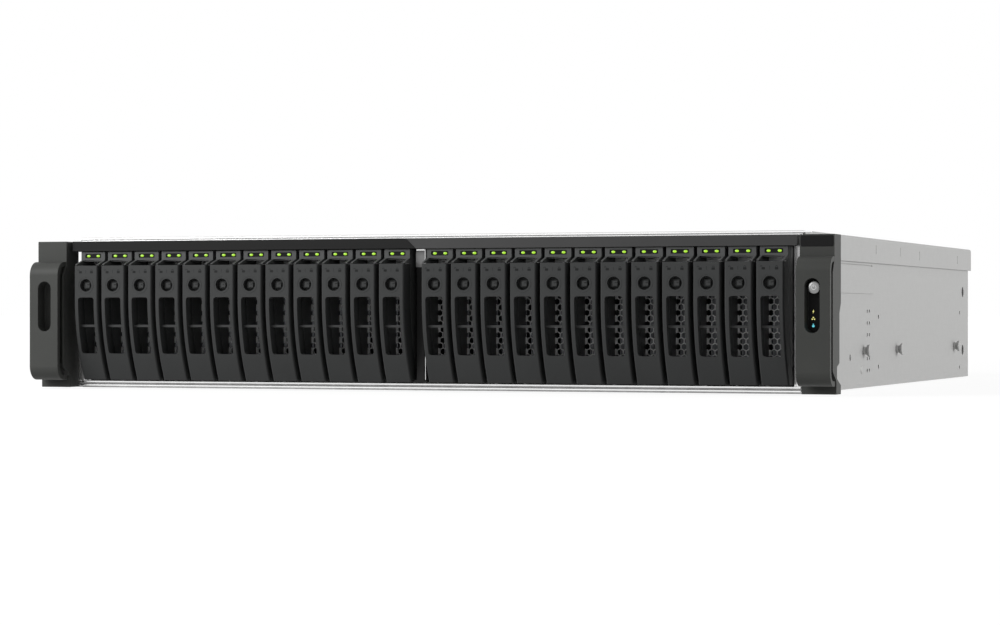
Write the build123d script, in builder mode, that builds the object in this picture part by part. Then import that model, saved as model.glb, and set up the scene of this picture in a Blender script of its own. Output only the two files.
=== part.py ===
"""Two-unit rack storage chassis with 24 upright drive trays, in millimetres.

The origin is the centre of the base pan's underside. +X is to the right as seen from the front,
+Y runs from the front to the back, and +Z is up. Each sub-part is written to parts/ as one STEP file.
"""

from build123d import *
from math import sqrt
import os

# Chassis
body_width = 438.2
body_depth = 477.0
overall_height = 88.6
wall = 1.2
cover_sheet = 1.2
cover_lip_drop = 14.9
cover_lip_sheet = 1.0
cover_overhang = 5.4
cover_clearance = 0.15
flange_reach = 18.6
ear_gap = 2.4

# Flared rail studs on the side walls: two placed from the front, the last from the rear
stud_places = (147.9, 240.3)
stud_rear_margin = 50.8
stud_height = 21.7
stud_head = 7.2
stud_neck = 4.6
stud_length = 3.8

# Drive bays, 12 each side of a centre post
bays_per_side = 12
centre_gap = 8.325
bay_margin = 3.3175
slide_clearance = 0.3

# Drive cage
deck_top = 3.95
deck_sheet = 1.2
cage_depth = 126.0
rib_width = 1.2
rib_height = 2.6
rib_start = 8.0

# Drive (15 mm class) and its tray
drive_side_gap = 0.2
runner_height = 2.85
drive_length = 100.45
drive_setback = 14.0
tray_side_gap = 1.0675
tray_head_room = 8.8
runner_overrun = 2.0
cheek = 1.3
grille_place = 1.8
grille_sheet = 1.0
tab_front = 12.3
tab_height = 5.6

# Lever: plane front above the bend, and an arc that runs back below it
lever_front = 21.4
lever_drop = 8.2
lever_bottom = 4.7
lever_bend_drop = 19.2
lever_bend_radius = 103.0
lever_depth = 10.0
lever_skin = 2.2
lever_side = 1.3
lever_joint_gap = 0.3
window_margin = 2.55
window_bottom = 20.2
window_drop = 18.6
window_bar = 1.4
window_bar_drop = 0.2
pivot_setback = 4.5
pivot_height = 9.0
hub_radius = 4.3
hinge_beam = 4.8

# Front trim over the trays and the post between the two groups of bays
trim_front = 13.6
trim_height = 5.9
trim_skin = 2.0
trim_inset = 0.3
trim_lean = 1.5
post_width = 5.0
post_front = 9.0
post_bottom = 4.4
post_drop = 9.8
post_foot_width = 8.0
post_foot_height = 1.6

# Ears with their handle blocks
ear_width = 18.6
ear_front = 16.5
ear_back = 1.7
ear_drop = 2.6
ear_side_front = 21.8
ear_shoulder_drop = 13.7
ear_shoulder_slope = 6.7
ear_foot_front = 13.0
ear_foot_height = 7.5
ear_foot_slope = 7.0
handle_front = 26.7
handle_width = 17.2
handle_bottom = 4.6
handle_drop = 12.0
handle_round = 8.0
slot_width = 7.9
slot_height = 29.0
slot_rise = 8.4
slot_depth = 7.5
scallop_inset = 2.1
scallop_top = 49.1
scallop_bottom = 5.0
finger_back = 5.1
finger_top = 43.8
finger_bottom = 16.9
thumb_back = 10.5
thumb_top = 15.0
thumb_bottom = 8.6

# Power button in the right ear's slot
button_diameter = 7.3
button_rise = 9.7
button_thickness = 4.0
button_setback = 1.4
button_stem = 3.6
button_stem_length = 7.0
button_bore_clearance = 0.1
button_travel = 1.5

# Backplane behind the drives
board_sheet = 2.4
socket_width = 6.4
socket_height = 38.0
socket_depth = 6.0
vent_bar = 11.07
vent_height = 11.0
vent_edge = 5.0

# Fan wall
fan_count = 3
fan_head_room = 5.0
fan_depth = 38.0
fan_rim = 2.0
fan_side_room = 7.9
fan_place = 178.0
fan_hub = 38.0
fan_hub_depth = 28.0
fan_blades = 5
fan_blade_root = 1.0
fan_blade_tip_gap = 2.5
fan_blade_sheet = 1.6
fan_blade_chord = 24.0
fan_blade_pitch = 35.0
fan_spoke = 5.0
bracket_sheet = 1.2

# Main board, rear panel and power supplies
board_fan_gap = 22.8
board_supply_gap = 16.3
main_board_sheet = 1.6
standoff = 6.0
sink_size = 90.0
sink_height = 24.0
sink_base = 5.0
sink_fins = 8
sink_fin = 1.4
modules = 4
module_length = 133.4
module_height = 31.0
module_sheet = 4.0
module_pitch = 9.5
port_depth = 12.0
port_clearance = 0.4
port_lip = 0.6
port_sizes = ((16.0, 15.0), (30.0, 15.0), (34.0, 14.0), (60.0, 12.0), (60.0, 12.0))
port_gaps = (20.0, 8.0, 10.0, 22.0, 20.0, 50.0)
supply_width = 73.5
supply_head_room = 4.9
supply_length = 185.0
supply_gap = 0.5
supply_right_margin = 10.0
supply_base = 2.0
supply_lip = 2.0
inlet_margin = 6.0
inlet_width = 24.0
inlet_height = 17.0
inlet_depth = 14.0
handle_inset = 4.0
handle_bar = 3.0
handle_reach = 22.0
tab_reach = 12.0

front = -body_depth / 2
rear = body_depth / 2
half_body = body_width / 2
inner_half = half_body - wall
cover_bottom = overall_height - cover_sheet
bay_pitch = (inner_half - bay_margin - centre_gap / 2) / bays_per_side
tray_width = bay_pitch - 2 * tray_side_gap
drive_width = tray_width - 2 * drive_side_gap
lever_width = tray_width
window_width = lever_width - 2 * window_margin
tray_top = overall_height - tray_head_room
lever_top = tray_top - lever_drop
lever_bend_height = lever_top - lever_bend_drop
window_top = lever_top - window_drop
window_bar_height = (window_bottom + window_top) / 2 - window_bar_drop
deck_bottom = deck_top - deck_sheet
tray_bottom = deck_top + slide_clearance
upper_deck = tray_top + slide_clearance
drive_bottom = tray_bottom + runner_height
drive_top = tray_top - runner_height
drive_front = front + drive_setback
drive_rear = drive_front + drive_length
socket_front = drive_rear + slide_clearance
backplane_front = socket_front + socket_depth
bay_offsets = [(centre_gap + bay_pitch) / 2 + bay * bay_pitch for bay in range(bays_per_side)]
bay_centres = [-x for x in reversed(bay_offsets)] + bay_offsets
rib_offsets = [centre_gap / 2 + bay * bay_pitch for bay in range(bays_per_side + 1)]
rib_centres = [-x for x in reversed(rib_offsets)] + rib_offsets
pivot_y = front - pivot_setback
bend_centre = (front - lever_front + lever_bend_radius, lever_bend_height)
bend_middle = (lever_bend_height + pivot_height) / 2
trim_half_width = half_body - trim_inset
plate_top = overall_height - cover_lip_drop - slide_clearance
stud_distances = (*stud_places, body_depth - stud_rear_margin)
post_top = tray_top - post_drop
ear_height = overall_height - ear_drop
ear_shoulder = ear_height - ear_shoulder_drop
handle_top = ear_height - handle_drop
slot_centre = (handle_bottom + handle_top) / 2 + slot_rise
button_height = slot_centre + button_rise
vent_width = 2 * bay_pitch - vent_bar
fan_size = cover_bottom - wall - bracket_sheet - fan_head_room
fan_bore = fan_size - 2 * fan_rim
fan_blade_reach = (fan_bore - fan_hub) / 2 + fan_blade_root - fan_blade_tip_gap
fan_pitch = 2 * (inner_half - fan_side_room) / fan_count
supply_height = (cover_bottom - supply_base - supply_gap - supply_head_room) / 2


def block(low, high, mode=Mode.ADD):
    """Add or cut a box given by its lowest and highest corners."""
    size = [b - a for a, b in zip(low, high)]
    middle = [(a + b) / 2 for a, b in zip(low, high)]
    with Locations(tuple(middle)):
        Box(*size, mode=mode)


def bend_point(radius, height):
    """The (y, z) point at a height on an arc about the centre of the lever's bend."""
    y, z = bend_centre
    return (y - sqrt(radius**2 - (z - height) ** 2), height)


def write(name, *solids):
    """Write a node's solids to one STEP file."""
    pieces = [solid for part in solids for solid in part.solids()]
    node = pieces[0] if len(pieces) == 1 else Compound(children=pieces)
    node.label = name
    export_step(node, f"parts/{name}.step")


# Lever


def lever_outline():
    """The lever's side view: bent front, round hub at the pivot, and a back in three straight runs."""
    back_radius = lever_bend_radius - lever_depth
    back_top = (front - lever_front + lever_depth, lever_top)
    back_bend = (front - lever_front + lever_depth, lever_bend_height)
    back_middle = bend_point(back_radius, bend_middle)
    hub_back = (pivot_y + hub_radius, pivot_height)
    hub_bottom = (pivot_y, pivot_height - hub_radius)
    front_bottom = bend_point(lever_bend_radius, hub_bottom[1])
    front_bend = (front - lever_front, lever_bend_height)
    with BuildSketch(Plane.YZ) as outline:
        with BuildLine():
            Line((front - lever_front, lever_top), front_bend)
            RadiusArc(front_bend, front_bottom, -lever_bend_radius)
            Line(front_bottom, hub_bottom)
            RadiusArc(hub_bottom, hub_back, -hub_radius)
            Polyline(hub_back, back_middle, back_bend, back_top)
            Line(back_top, (front - lever_front, lever_top))
        make_face()
    return outline.sketch


with BuildPart() as lever:
    extrude(lever_outline(), amount=lever_width / 2, both=True)
    core_top = lever_top - lever_skin
    core_front = front - lever_front + lever_skin
    core_middle = bend_point(lever_bend_radius - lever_skin, bend_middle)
    core_bottom = bend_point(lever_bend_radius - lever_skin, lever_bottom - wall)
    with BuildSketch(Plane.YZ):
        with BuildLine():
            Polyline(
                (core_front, core_top),
                (core_front, lever_bend_height),
                core_middle,
                core_bottom,
                (front, core_bottom[1]),
                (front, core_top),
                close=True,
            )
        make_face()
    extrude(amount=lever_width / 2 - lever_side, both=True, mode=Mode.SUBTRACT)
    bar_low = window_bar_height - window_bar / 2
    bar_high = window_bar_height + window_bar / 2
    for low, high in ((window_bottom, bar_low), (bar_high, window_top)):
        block(
            (-window_width / 2, front - lever_front, low),
            (window_width / 2, front - lever_front + lever_depth, high),
            mode=Mode.SUBTRACT,
        )

# Tray


def cheek_outline(plane):
    """A tray cheek: its front edge follows the lever's back at the joint gap, and clears the hub."""
    radius = lever_bend_radius - lever_depth - lever_joint_gap
    cheek_front = front - lever_front + lever_depth + lever_joint_gap
    knee_height = pivot_height + hub_radius + lever_joint_gap + cheek / 3
    middle = bend_point(radius, bend_middle)
    hub_clear = front + slide_clearance
    along = (knee_height - pivot_height) / (bend_middle - pivot_height)
    knee = (hub_clear + lever_joint_gap / 3 + along * (middle[0] - hub_clear), knee_height)
    grille_back = front + grille_place + grille_sheet
    with BuildSketch(plane) as outline:
        with BuildLine():
            Polyline(
                (cheek_front, tray_top),
                (cheek_front, lever_bend_height),
                middle,
                knee,
                (hub_clear, pivot_height + hub_radius - cheek),
                (hub_clear, tray_bottom),
                (grille_back, tray_bottom),
                (grille_back, tray_top),
                close=True,
            )
        make_face()
    return outline.sketch


with BuildPart() as tray:
    runner_back = drive_rear - runner_overrun
    half = tray_width / 2
    block((-half, front + grille_place, tray_bottom), (half, runner_back, drive_bottom))
    block((-half, front + grille_place, drive_top), (half, runner_back, tray_top))
    for side in (-1, 1):
        extrude(cheek_outline(Plane.YZ.offset(side * (half - cheek / 2))), amount=cheek / 2, both=True)
    grille_back = front + grille_place + grille_sheet
    block((-half, front + grille_place, drive_bottom), (half, grille_back, drive_top))
    block((-half, front - tab_front, tray_top - tab_height), (half, grille_back, tray_top))
    beam_half = lever_width / 2 - lever_side - lever_joint_gap
    block(
        (-beam_half, pivot_y - hinge_beam / 2, pivot_height - hinge_beam / 2),
        (beam_half, front + grille_place, pivot_height + hinge_beam / 2),
    )

with BuildPart() as drive:
    half_drive = drive_width / 2
    block((-half_drive, drive_front, drive_bottom), (half_drive, drive_rear, drive_top))

# Drive cage: two decks with guide ribs, side plates and the bright front frame

with BuildPart() as cage:
    block((-inner_half, front, deck_bottom), (inner_half, front + cage_depth, deck_top))
    block((-inner_half, front, upper_deck), (inner_half, front + cage_depth, upper_deck + deck_sheet))
    block((-inner_half, front, wall), (inner_half, front + deck_sheet, deck_bottom))
    block(
        (-inner_half, front + cage_depth - deck_sheet, wall),
        (inner_half, front + cage_depth, deck_bottom),
    )
    block((-inner_half, front, upper_deck + deck_sheet), (inner_half, front + deck_sheet, cover_bottom))
    for side in (-1, 1):
        inner, outer = sorted((side * (inner_half - deck_sheet), side * inner_half))
        block((inner, front, deck_top), (outer, front + cage_depth, upper_deck))
        strip_edge = rib_offsets[-1] - rib_width / 2
        inner, outer = sorted((side * strip_edge, side * inner_half))
        block((inner, front, deck_top), (outer, front + deck_sheet, upper_deck))
    for rib in rib_centres:
        low_x, high_x = rib - rib_width / 2, rib + rib_width / 2
        rib_front, rib_back = front + rib_start, drive_rear
        block((low_x, rib_front, deck_top), (high_x, rib_back, deck_top + rib_height))
        block((low_x, rib_front, upper_deck - rib_height), (high_x, rib_back, upper_deck))

with BuildPart() as post_bracket:
    half = post_width / 2
    block((-half, front - post_front, post_top), (half, front, upper_deck - slide_clearance))

# Front trim bar and centre post

with BuildPart() as trim:
    trim_bottom = upper_deck
    trim_top = trim_bottom + trim_height
    block((-trim_half_width, front - trim_front, trim_bottom), (trim_half_width, front, trim_top))
    block(
        (-trim_half_width + trim_skin, front - trim_front + trim_skin, trim_bottom + trim_skin / 2),
        (trim_half_width - trim_skin, front, trim_top - trim_skin / 2),
        mode=Mode.SUBTRACT,
    )
    with BuildSketch(Plane.YZ):
        with BuildLine():
            Polyline(
                (front - trim_front, trim_bottom),
                (front - trim_front, trim_top),
                (front - trim_front + trim_lean, trim_top),
                close=True,
            )
        make_face()
    extrude(amount=trim_half_width, mode=Mode.SUBTRACT)

with BuildPart() as post:
    half = post_width / 2
    block((-half, front - post_front, post_bottom), (half, front, post_top))
    foot = post_foot_width / 2
    block((-foot, front - post_front, post_bottom), (foot, front, post_bottom + post_foot_height))

# Ears


def ear(side):
    """An ear moulding with its proud handle block, for the left (-1) or right (1) side."""
    inner = half_body + ear_gap
    outer = inner + ear_width
    with BuildPart() as moulding:
        middle_x = side * (inner + outer) / 2
        with BuildSketch(Plane.YZ.offset(middle_x)):
            with BuildLine():
                Polyline(
                    (front - ear_back, 0),
                    (front - ear_foot_front, 0),
                    (front - ear_foot_front, ear_foot_height),
                    (front - ear_side_front, ear_foot_height + ear_foot_slope),
                    (front - ear_side_front, ear_shoulder - ear_shoulder_slope),
                    (front - ear_front, ear_shoulder),
                    (front - ear_front, ear_height),
                    (front - ear_back, ear_height),
                    close=True,
                )
            make_face()
        extrude(amount=ear_width / 2, both=True)
        handle_x = middle_x
        with BuildSketch(Plane.YZ.offset(handle_x)):
            with BuildLine():
                bottom_low = (front - ear_foot_front, handle_bottom)
                top_low = (front - ear_foot_front, handle_top)
                FilletPolyline(
                    bottom_low,
                    (front - handle_front, handle_bottom),
                    (front - handle_front, handle_top),
                    top_low,
                    radius=handle_round,
                )
                Line(top_low, bottom_low)
            make_face()
        extrude(amount=handle_width / 2, both=True)
        slot_face = Plane((handle_x, front - handle_front, slot_centre), x_dir=(0, 0, 1), z_dir=(0, 1, 0))
        with BuildSketch(slot_face):
            SlotOverall(slot_height, slot_width)
        extrude(amount=slot_depth, mode=Mode.SUBTRACT)
        with BuildSketch(Plane.YZ.offset(side * (outer - scallop_inset))):
            with BuildLine():
                Polyline(
                    (front, scallop_top),
                    (front - ear_back, scallop_top),
                    (front - finger_back, finger_top),
                    (front - finger_back, finger_bottom),
                    (front - thumb_back, thumb_top),
                    (front - thumb_back, thumb_bottom),
                    (front - ear_back, scallop_bottom),
                    (front, scallop_bottom),
                    close=True,
                )
            make_face()
        extrude(amount=side * scallop_inset, mode=Mode.SUBTRACT)
    return moulding, handle_x


left_ear, left_handle_x = ear(-1)
right_ear, right_handle_x = ear(1)

with BuildPart() as button:
    button_front = front - handle_front + button_setback
    button_back = button_front + button_thickness
    with BuildSketch(Plane.XZ.offset(-button_front)):
        with Locations((right_handle_x, button_height)):
            Circle(button_diameter / 2)
    extrude(amount=-button_thickness)
    with BuildSketch(Plane.XZ.offset(-button_back)):
        with Locations((right_handle_x, button_height)):
            Rectangle(button_stem, button_stem)
    extrude(amount=-button_stem_length)

with BuildPart() as right_moulding:
    add(right_ear.part)
    button_bore = button_stem + 2 * button_bore_clearance
    with BuildSketch(Plane.XZ.offset(-button_back)):
        with Locations((right_handle_x, button_height)):
            Rectangle(button_bore, button_bore)
    extrude(amount=-(button_stem_length + button_travel + slide_clearance), mode=Mode.SUBTRACT)

# Base: pan, side walls, ear plates, rail studs, and a rear panel with cut-outs for ports and supplies

supply_high = supply_base + 2 * supply_height + supply_gap
supply_right = inner_half - supply_right_margin
supply_left = supply_right - supply_width
cut_out_left = supply_left - slide_clearance
cut_out_right = supply_right + slide_clearance
board_left = -inner_half + standoff
board_top = wall + standoff + main_board_sheet
main_board_width = supply_left - board_supply_gap - board_left
port_room = main_board_width - sum(width for width, _ in port_sizes)
port_places = []
port_left = board_left
for gap, (width, _) in zip(port_gaps, port_sizes):
    port_left += gap * port_room / sum(port_gaps)
    port_places.append(port_left)
    port_left += width

with BuildPart() as pan:
    block((-inner_half, front, 0), (inner_half, rear, wall))

with BuildPart() as side_walls:
    for side in (-1, 1):
        low_x, high_x = sorted((side * inner_half, side * half_body))
        block((low_x, front, 0), (high_x, rear, cover_bottom))
        block((low_x, front - ear_back, wall), (high_x, front, plate_top))

with BuildPart() as ear_plates:
    for side in (-1, 1):
        low_x, high_x = sorted((side * half_body, side * (half_body + flange_reach)))
        block((low_x, front - ear_back, wall), (high_x, front, plate_top))

with BuildPart() as rear_panel:
    block((-inner_half, rear - wall, wall), (cut_out_left, rear, cover_bottom))
    for port_left, (width, height) in zip(port_places, port_sizes):
        block(
            (port_left - port_clearance, rear - wall, board_top - port_clearance),
            (port_left + width + port_clearance, rear, board_top + height + port_clearance),
            mode=Mode.SUBTRACT,
        )

with BuildPart() as rear_strip:
    block((cut_out_right, rear - wall, wall), (inner_half, rear, cover_bottom))

with BuildPart() as rear_rail:
    block((cut_out_left, rear - wall, supply_high + slide_clearance), (cut_out_right, rear, cover_bottom))

with BuildPart() as studs:
    for side in (-1, 1):
        for distance in stud_distances:
            foot = Location((side * half_body, front + distance, stud_height), (0, side * 90, 0))
            upright = (Align.CENTER, Align.CENTER, Align.MIN)
            with Locations(foot):
                Cone(stud_neck / 2, stud_head / 2, stud_length, align=upright)

# Top cover with side lips

with BuildPart() as cover:
    lip_inner = half_body + cover_clearance
    lip_outer = lip_inner + cover_lip_sheet
    cover_rear = rear + cover_overhang
    block((-lip_outer, front, cover_bottom), (lip_outer, cover_rear, overall_height))
    for side in (-1, 1):
        low_x, high_x = sorted((side * lip_inner, side * lip_outer))
        block((low_x, front, overall_height - cover_lip_drop), (high_x, cover_rear, cover_bottom))

# Backplane with a socket for each drive

with BuildPart() as backplane:
    board_low = deck_top
    board_high = upper_deck
    edge = rib_offsets[-1]
    block((-edge, backplane_front, board_low), (edge, backplane_front + board_sheet, board_high))
    vent_centres = [(a + b) / 2 for a, b in zip(bay_centres[::2], bay_centres[1::2])]
    vent_low = board_high - vent_edge - vent_height
    for x in vent_centres:
        block(
            (x - vent_width / 2, backplane_front, vent_low),
            (x + vent_width / 2, backplane_front + board_sheet, vent_low + vent_height),
            mode=Mode.SUBTRACT,
        )

with BuildPart() as sockets:
    middle = (board_low + board_high) / 2
    for x in bay_centres:
        block(
            (x - socket_width / 2, socket_front, middle - socket_height / 2),
            (x + socket_width / 2, backplane_front, middle + socket_height / 2),
        )

# Fan wall: bracket, frames and rotors

fan_centres = [(index - (fan_count - 1) / 2) * fan_pitch for index in range(fan_count)]
fan_front = front + fan_place
fan_base = wall + bracket_sheet
fan_height = fan_base + fan_size / 2

with BuildPart() as fan_bracket:
    block((-inner_half, fan_front, wall), (inner_half, fan_front + fan_depth, fan_base))
    gaps = [fan_centres[0] - fan_pitch / 2] + [x + fan_pitch / 2 for x in fan_centres]
    for x in gaps:
        block(
            (x - bracket_sheet / 2, fan_front, fan_base),
            (x + bracket_sheet / 2, fan_front + fan_depth, fan_base + fan_size),
        )
    for x_left, x_right in zip(gaps, gaps[1:]):
        middle_x = (x_left + x_right) / 2
        for low_x, high_x in ((x_left, middle_x - fan_size / 2), (middle_x + fan_size / 2, x_right)):
            block(
                (low_x, fan_front, fan_base),
                (high_x, fan_front + bracket_sheet, fan_base + fan_size),
            )

with BuildPart() as fan_frames:
    for x in fan_centres:
        block(
            (x - fan_size / 2, fan_front, fan_base),
            (x + fan_size / 2, fan_front + fan_depth, fan_base + fan_size),
        )
    with BuildSketch(Plane.XZ.offset(-fan_front)):
        with Locations(*[(x, fan_height) for x in fan_centres]):
            Circle(fan_bore / 2)
    extrude(amount=-fan_depth, mode=Mode.SUBTRACT)
    for x in fan_centres:
        block(
            (x - fan_size / 2, fan_front + fan_depth - fan_spoke, fan_height - fan_spoke / 2),
            (x + fan_size / 2, fan_front + fan_depth, fan_height + fan_spoke / 2),
        )

with BuildPart() as rotor:
    rotor_back = fan_front + fan_depth - fan_spoke - slide_clearance
    with BuildSketch(Plane.XZ.offset(-rotor_back)):
        Circle(fan_hub / 2)
    extrude(amount=fan_hub_depth)
    blade_middle = rotor_back - fan_hub_depth / 2
    for turn in range(fan_blades):
        blade_plane = Plane((0, blade_middle, 0), x_dir=(0, 1, 0), z_dir=(0, 0, 1))
        turned = blade_plane.rotated((0, turn * 360 / fan_blades, 0))
        with BuildSketch(turned.offset(fan_hub / 2 - fan_blade_root)):
            Rectangle(fan_blade_chord, fan_blade_sheet, rotation=fan_blade_pitch)
        extrude(amount=fan_blade_reach)

# Main board with its heat sink and memory modules, on standoffs, and the rear panel's port block

board_rear = rear - wall - port_depth
board_front = fan_front + fan_depth + board_fan_gap
main_board_depth = board_rear - board_front
sink_left = board_left + (main_board_width - sink_size) / 2
sink_front = board_rear - (main_board_depth + sink_size) / 2
module_bank = sink_left - modules * module_pitch

with BuildPart() as board:
    block(
        (board_left, board_front, wall + standoff),
        (board_left + main_board_width, board_rear, board_top),
    )

with BuildPart() as standoffs:
    with Locations((board_left + main_board_width / 2, board_rear - main_board_depth / 2, wall)):
        with GridLocations(main_board_width - 4 * standoff, main_board_depth - 4 * standoff, 2, 2):
            Box(standoff, standoff, standoff, align=(Align.CENTER, Align.CENTER, Align.MIN))

with BuildPart() as sink:
    sink_right, sink_back = sink_left + sink_size, sink_front + sink_size
    block((sink_left, sink_front, board_top), (sink_right, sink_back, board_top + sink_base))
    for fin in range(sink_fins):
        fin_x = sink_left + fin * (sink_size - sink_fin) / (sink_fins - 1)
        block(
            (fin_x, sink_front, board_top + sink_base),
            (fin_x + sink_fin, sink_back, board_top + sink_height),
        )

with BuildPart() as memory:
    for slot in range(modules):
        module_x = module_bank + slot * module_pitch
        module_front = sink_front + (sink_size - module_length) / 2
        block(
            (module_x, module_front, board_top),
            (module_x + module_sheet, module_front + module_length, board_top + module_height),
        )

with BuildPart() as ports:
    for port_left, (width, height) in zip(port_places, port_sizes):
        block(
            (port_left, board_rear - port_depth / 2, board_top),
            (port_left + width, rear + port_lip, board_top + height),
        )

# Power supplies, one above the other, each with its inlet, handle and release tab


def supply(base_z):
    """A power supply: case, fan end, frame round the inlet well, handle and release tab."""
    top_z = base_z + supply_height
    well_front = rear + supply_lip - inlet_depth
    inlet_left = supply_left + inlet_margin
    inlet_right = inlet_left + inlet_width
    inlet_low = base_z + (supply_height - inlet_height) / 2
    inlet_high = inlet_low + inlet_height
    with BuildPart() as case:
        block((supply_left, rear - supply_length, base_z), (supply_right, well_front, top_z))
    with BuildPart() as fan_end:
        block((inlet_right, well_front, base_z), (supply_right, rear + supply_lip, top_z))
    with BuildPart() as inlet_side:
        block((supply_left, well_front, base_z), (inlet_left, rear + supply_lip, top_z))
    with BuildPart() as inlet_sill:
        block((inlet_left, well_front, base_z), (inlet_right, rear + supply_lip, inlet_low))
    with BuildPart() as inlet_head:
        block((inlet_left, well_front, inlet_high), (inlet_right, rear + supply_lip, top_z))
    with BuildPart() as handle:
        low_z, high_z = base_z + handle_inset, base_z + supply_height - handle_inset
        low_x = inlet_right + handle_inset
        high_x = low_x + handle_bar
        block((low_x, rear + supply_lip, low_z), (high_x, rear + supply_lip + handle_reach, high_z))
        block(
            (low_x, rear + supply_lip, low_z + handle_bar),
            (high_x, rear + supply_lip + handle_reach - handle_bar, high_z - handle_bar),
            mode=Mode.SUBTRACT,
        )
    with BuildPart() as tab:
        low_x = supply_right - handle_inset - handle_bar
        block(
            (low_x, rear + supply_lip, base_z + handle_inset),
            (low_x + handle_bar, rear + supply_lip + tab_reach, base_z + supply_height / 2),
        )
    return case, fan_end, inlet_side, inlet_sill, inlet_head, handle, tab


lower_supply = supply(supply_base)
upper_supply = supply(supply_base + supply_height + supply_gap)

# Files

os.makedirs("parts", exist_ok=True)
for number, centre in enumerate(bay_centres, start=1):
    place = Location((centre, 0, 0))
    write(f"tray_{number:02d}", tray.part.moved(place), drive.part.moved(place))
    write(f"lever_{number:02d}", lever.part.moved(place))
rear_pieces = (rear_panel.part, rear_strip.part, rear_rail.part)
write("chassis_base", pan.part, side_walls.part, *rear_pieces, ear_plates.part, studs.part)
write("top_cover", cover.part)
write("drive_cage", cage.part, post_bracket.part)
write("front_trim", trim.part, post.part)
write("left_ear", left_ear.part)
write("right_ear", right_moulding.part)
write("power_button", button.part)
write("backplane", backplane.part, sockets.part)
rotors = [rotor.part.moved(Location((x, 0, fan_height))) for x in fan_centres]
write("fan_wall", fan_bracket.part, fan_frames.part, *rotors)
write("main_board", board.part, standoffs.part, sink.part, memory.part, ports.part)
write("power_supply_1", *[piece.part for piece in lower_supply])
write("power_supply_2", *[piece.part for piece in upper_supply])
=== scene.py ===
"""Two-unit rack storage chassis: the visible pieces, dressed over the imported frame.

Sizes here are millimetres. A place is given as (x, depth, height): x to the right from the front,
depth behind the front metal plane, so that a negative depth stands proud of it, and height above
the underside of the base pan.
"""

from __future__ import annotations

import logging
import math
from dataclasses import dataclass
from enum import Enum
from typing import Iterable, Mapping, Sequence

import bmesh
import bpy
from mathutils import Matrix, Vector


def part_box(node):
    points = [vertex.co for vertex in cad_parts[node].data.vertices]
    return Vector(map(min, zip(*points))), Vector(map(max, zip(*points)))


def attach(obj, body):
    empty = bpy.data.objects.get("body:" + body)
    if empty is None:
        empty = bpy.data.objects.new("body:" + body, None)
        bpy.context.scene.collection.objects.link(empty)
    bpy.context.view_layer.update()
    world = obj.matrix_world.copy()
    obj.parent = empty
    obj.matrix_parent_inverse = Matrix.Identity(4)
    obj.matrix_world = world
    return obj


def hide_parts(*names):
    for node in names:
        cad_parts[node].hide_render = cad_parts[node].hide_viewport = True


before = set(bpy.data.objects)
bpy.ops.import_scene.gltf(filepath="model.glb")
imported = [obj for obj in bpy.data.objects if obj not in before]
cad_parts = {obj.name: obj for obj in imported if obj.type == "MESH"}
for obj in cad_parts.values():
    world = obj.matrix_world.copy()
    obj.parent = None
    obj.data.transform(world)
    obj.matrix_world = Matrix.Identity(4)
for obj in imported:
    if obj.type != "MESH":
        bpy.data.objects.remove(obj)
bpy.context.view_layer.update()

MM = 0.001
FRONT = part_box("top_cover")[0][1] / MM
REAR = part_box("chassis_base")[1][1] / MM - FRONT
COVER_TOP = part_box("top_cover")[1][2] / MM

ROOT_3 = math.sqrt(3)
JOIN_GAP = 0.0005
BOARD_GAP = 0.002
WELD_GAP = 0.004
FLAT_ANGLE = 0.3
SHARP_ANGLE = 35.0
# A Mix node has sockets for numbers, vectors and colours: these are its two colours and its result.
MIX_COLOURS = (6, 7)
MIX_RESULT = 2

LOG = logging.getLogger("storage_chassis")

Point = tuple[float, float, float]
Flat = tuple[float, float]
Tree = bpy.types.NodeTree
Socket = bpy.types.NodeSocket


class Axis(Enum):
    """The direction that a prism or a turned form runs along."""

    X = 0
    DEPTH = 1
    HEIGHT = 2


class Join(Enum):
    """How one closed form acts on another."""

    CUT = "DIFFERENCE"
    ADD = "UNION"


class Side(Enum):
    """A side of the chassis, seen from the front, with the sign of its X."""

    LEFT = -1
    RIGHT = 1


def linear(colour: str) -> tuple[float, float, float, float]:
    """Turn an sRGB hex colour to linear.

    Args:
        colour: Six hex digits after a hash sign.

    Returns:
        The red, green, blue and alpha values.
    """
    values = [int(colour[start : start + 2], 16) / 255 for start in (1, 3, 5)]
    red, green, blue = [v / 12.92 if v <= 0.04045 else ((v + 0.055) / 1.055) ** 2.4 for v in values]
    return (red, green, blue, 1.0)


def add_node(
    tree: Tree, kind: str, inputs: Mapping[str | int, object] | None = None, **settings: object
) -> bpy.types.Node:
    """Add a node with its settings, and set or link its inputs.

    Args:
        tree: The node tree it goes into.
        kind: The node's type name.
        inputs: Values or output sockets, by the name or number of the input.
        settings: Properties of the node itself.

    Returns:
        The new node.
    """
    node = tree.nodes.new(kind)
    for name, value in settings.items():
        setattr(node, name, value)
    for name, value in (inputs or {}).items():
        socket = node.inputs[name]
        if isinstance(value, bpy.types.NodeSocket):
            tree.links.new(value, socket)
        else:
            socket.default_value = value
    return node


def reckon(tree: Tree, operation: str, first: object, second: object) -> Socket:
    """Add a sum on two values or sockets, and give its result."""
    return add_node(tree, "ShaderNodeMath", {0: first, 1: second}, operation=operation).outputs[0]


def noise(tree: Tree, place: Socket, scale: float, detail: float = 2.0) -> Socket:
    """Add a cloudy pattern, and give its value."""
    inputs = {"Vector": place, "Scale": scale, "Detail": detail}
    return add_node(tree, "ShaderNodeTexNoise", inputs).outputs["Fac"]


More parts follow.
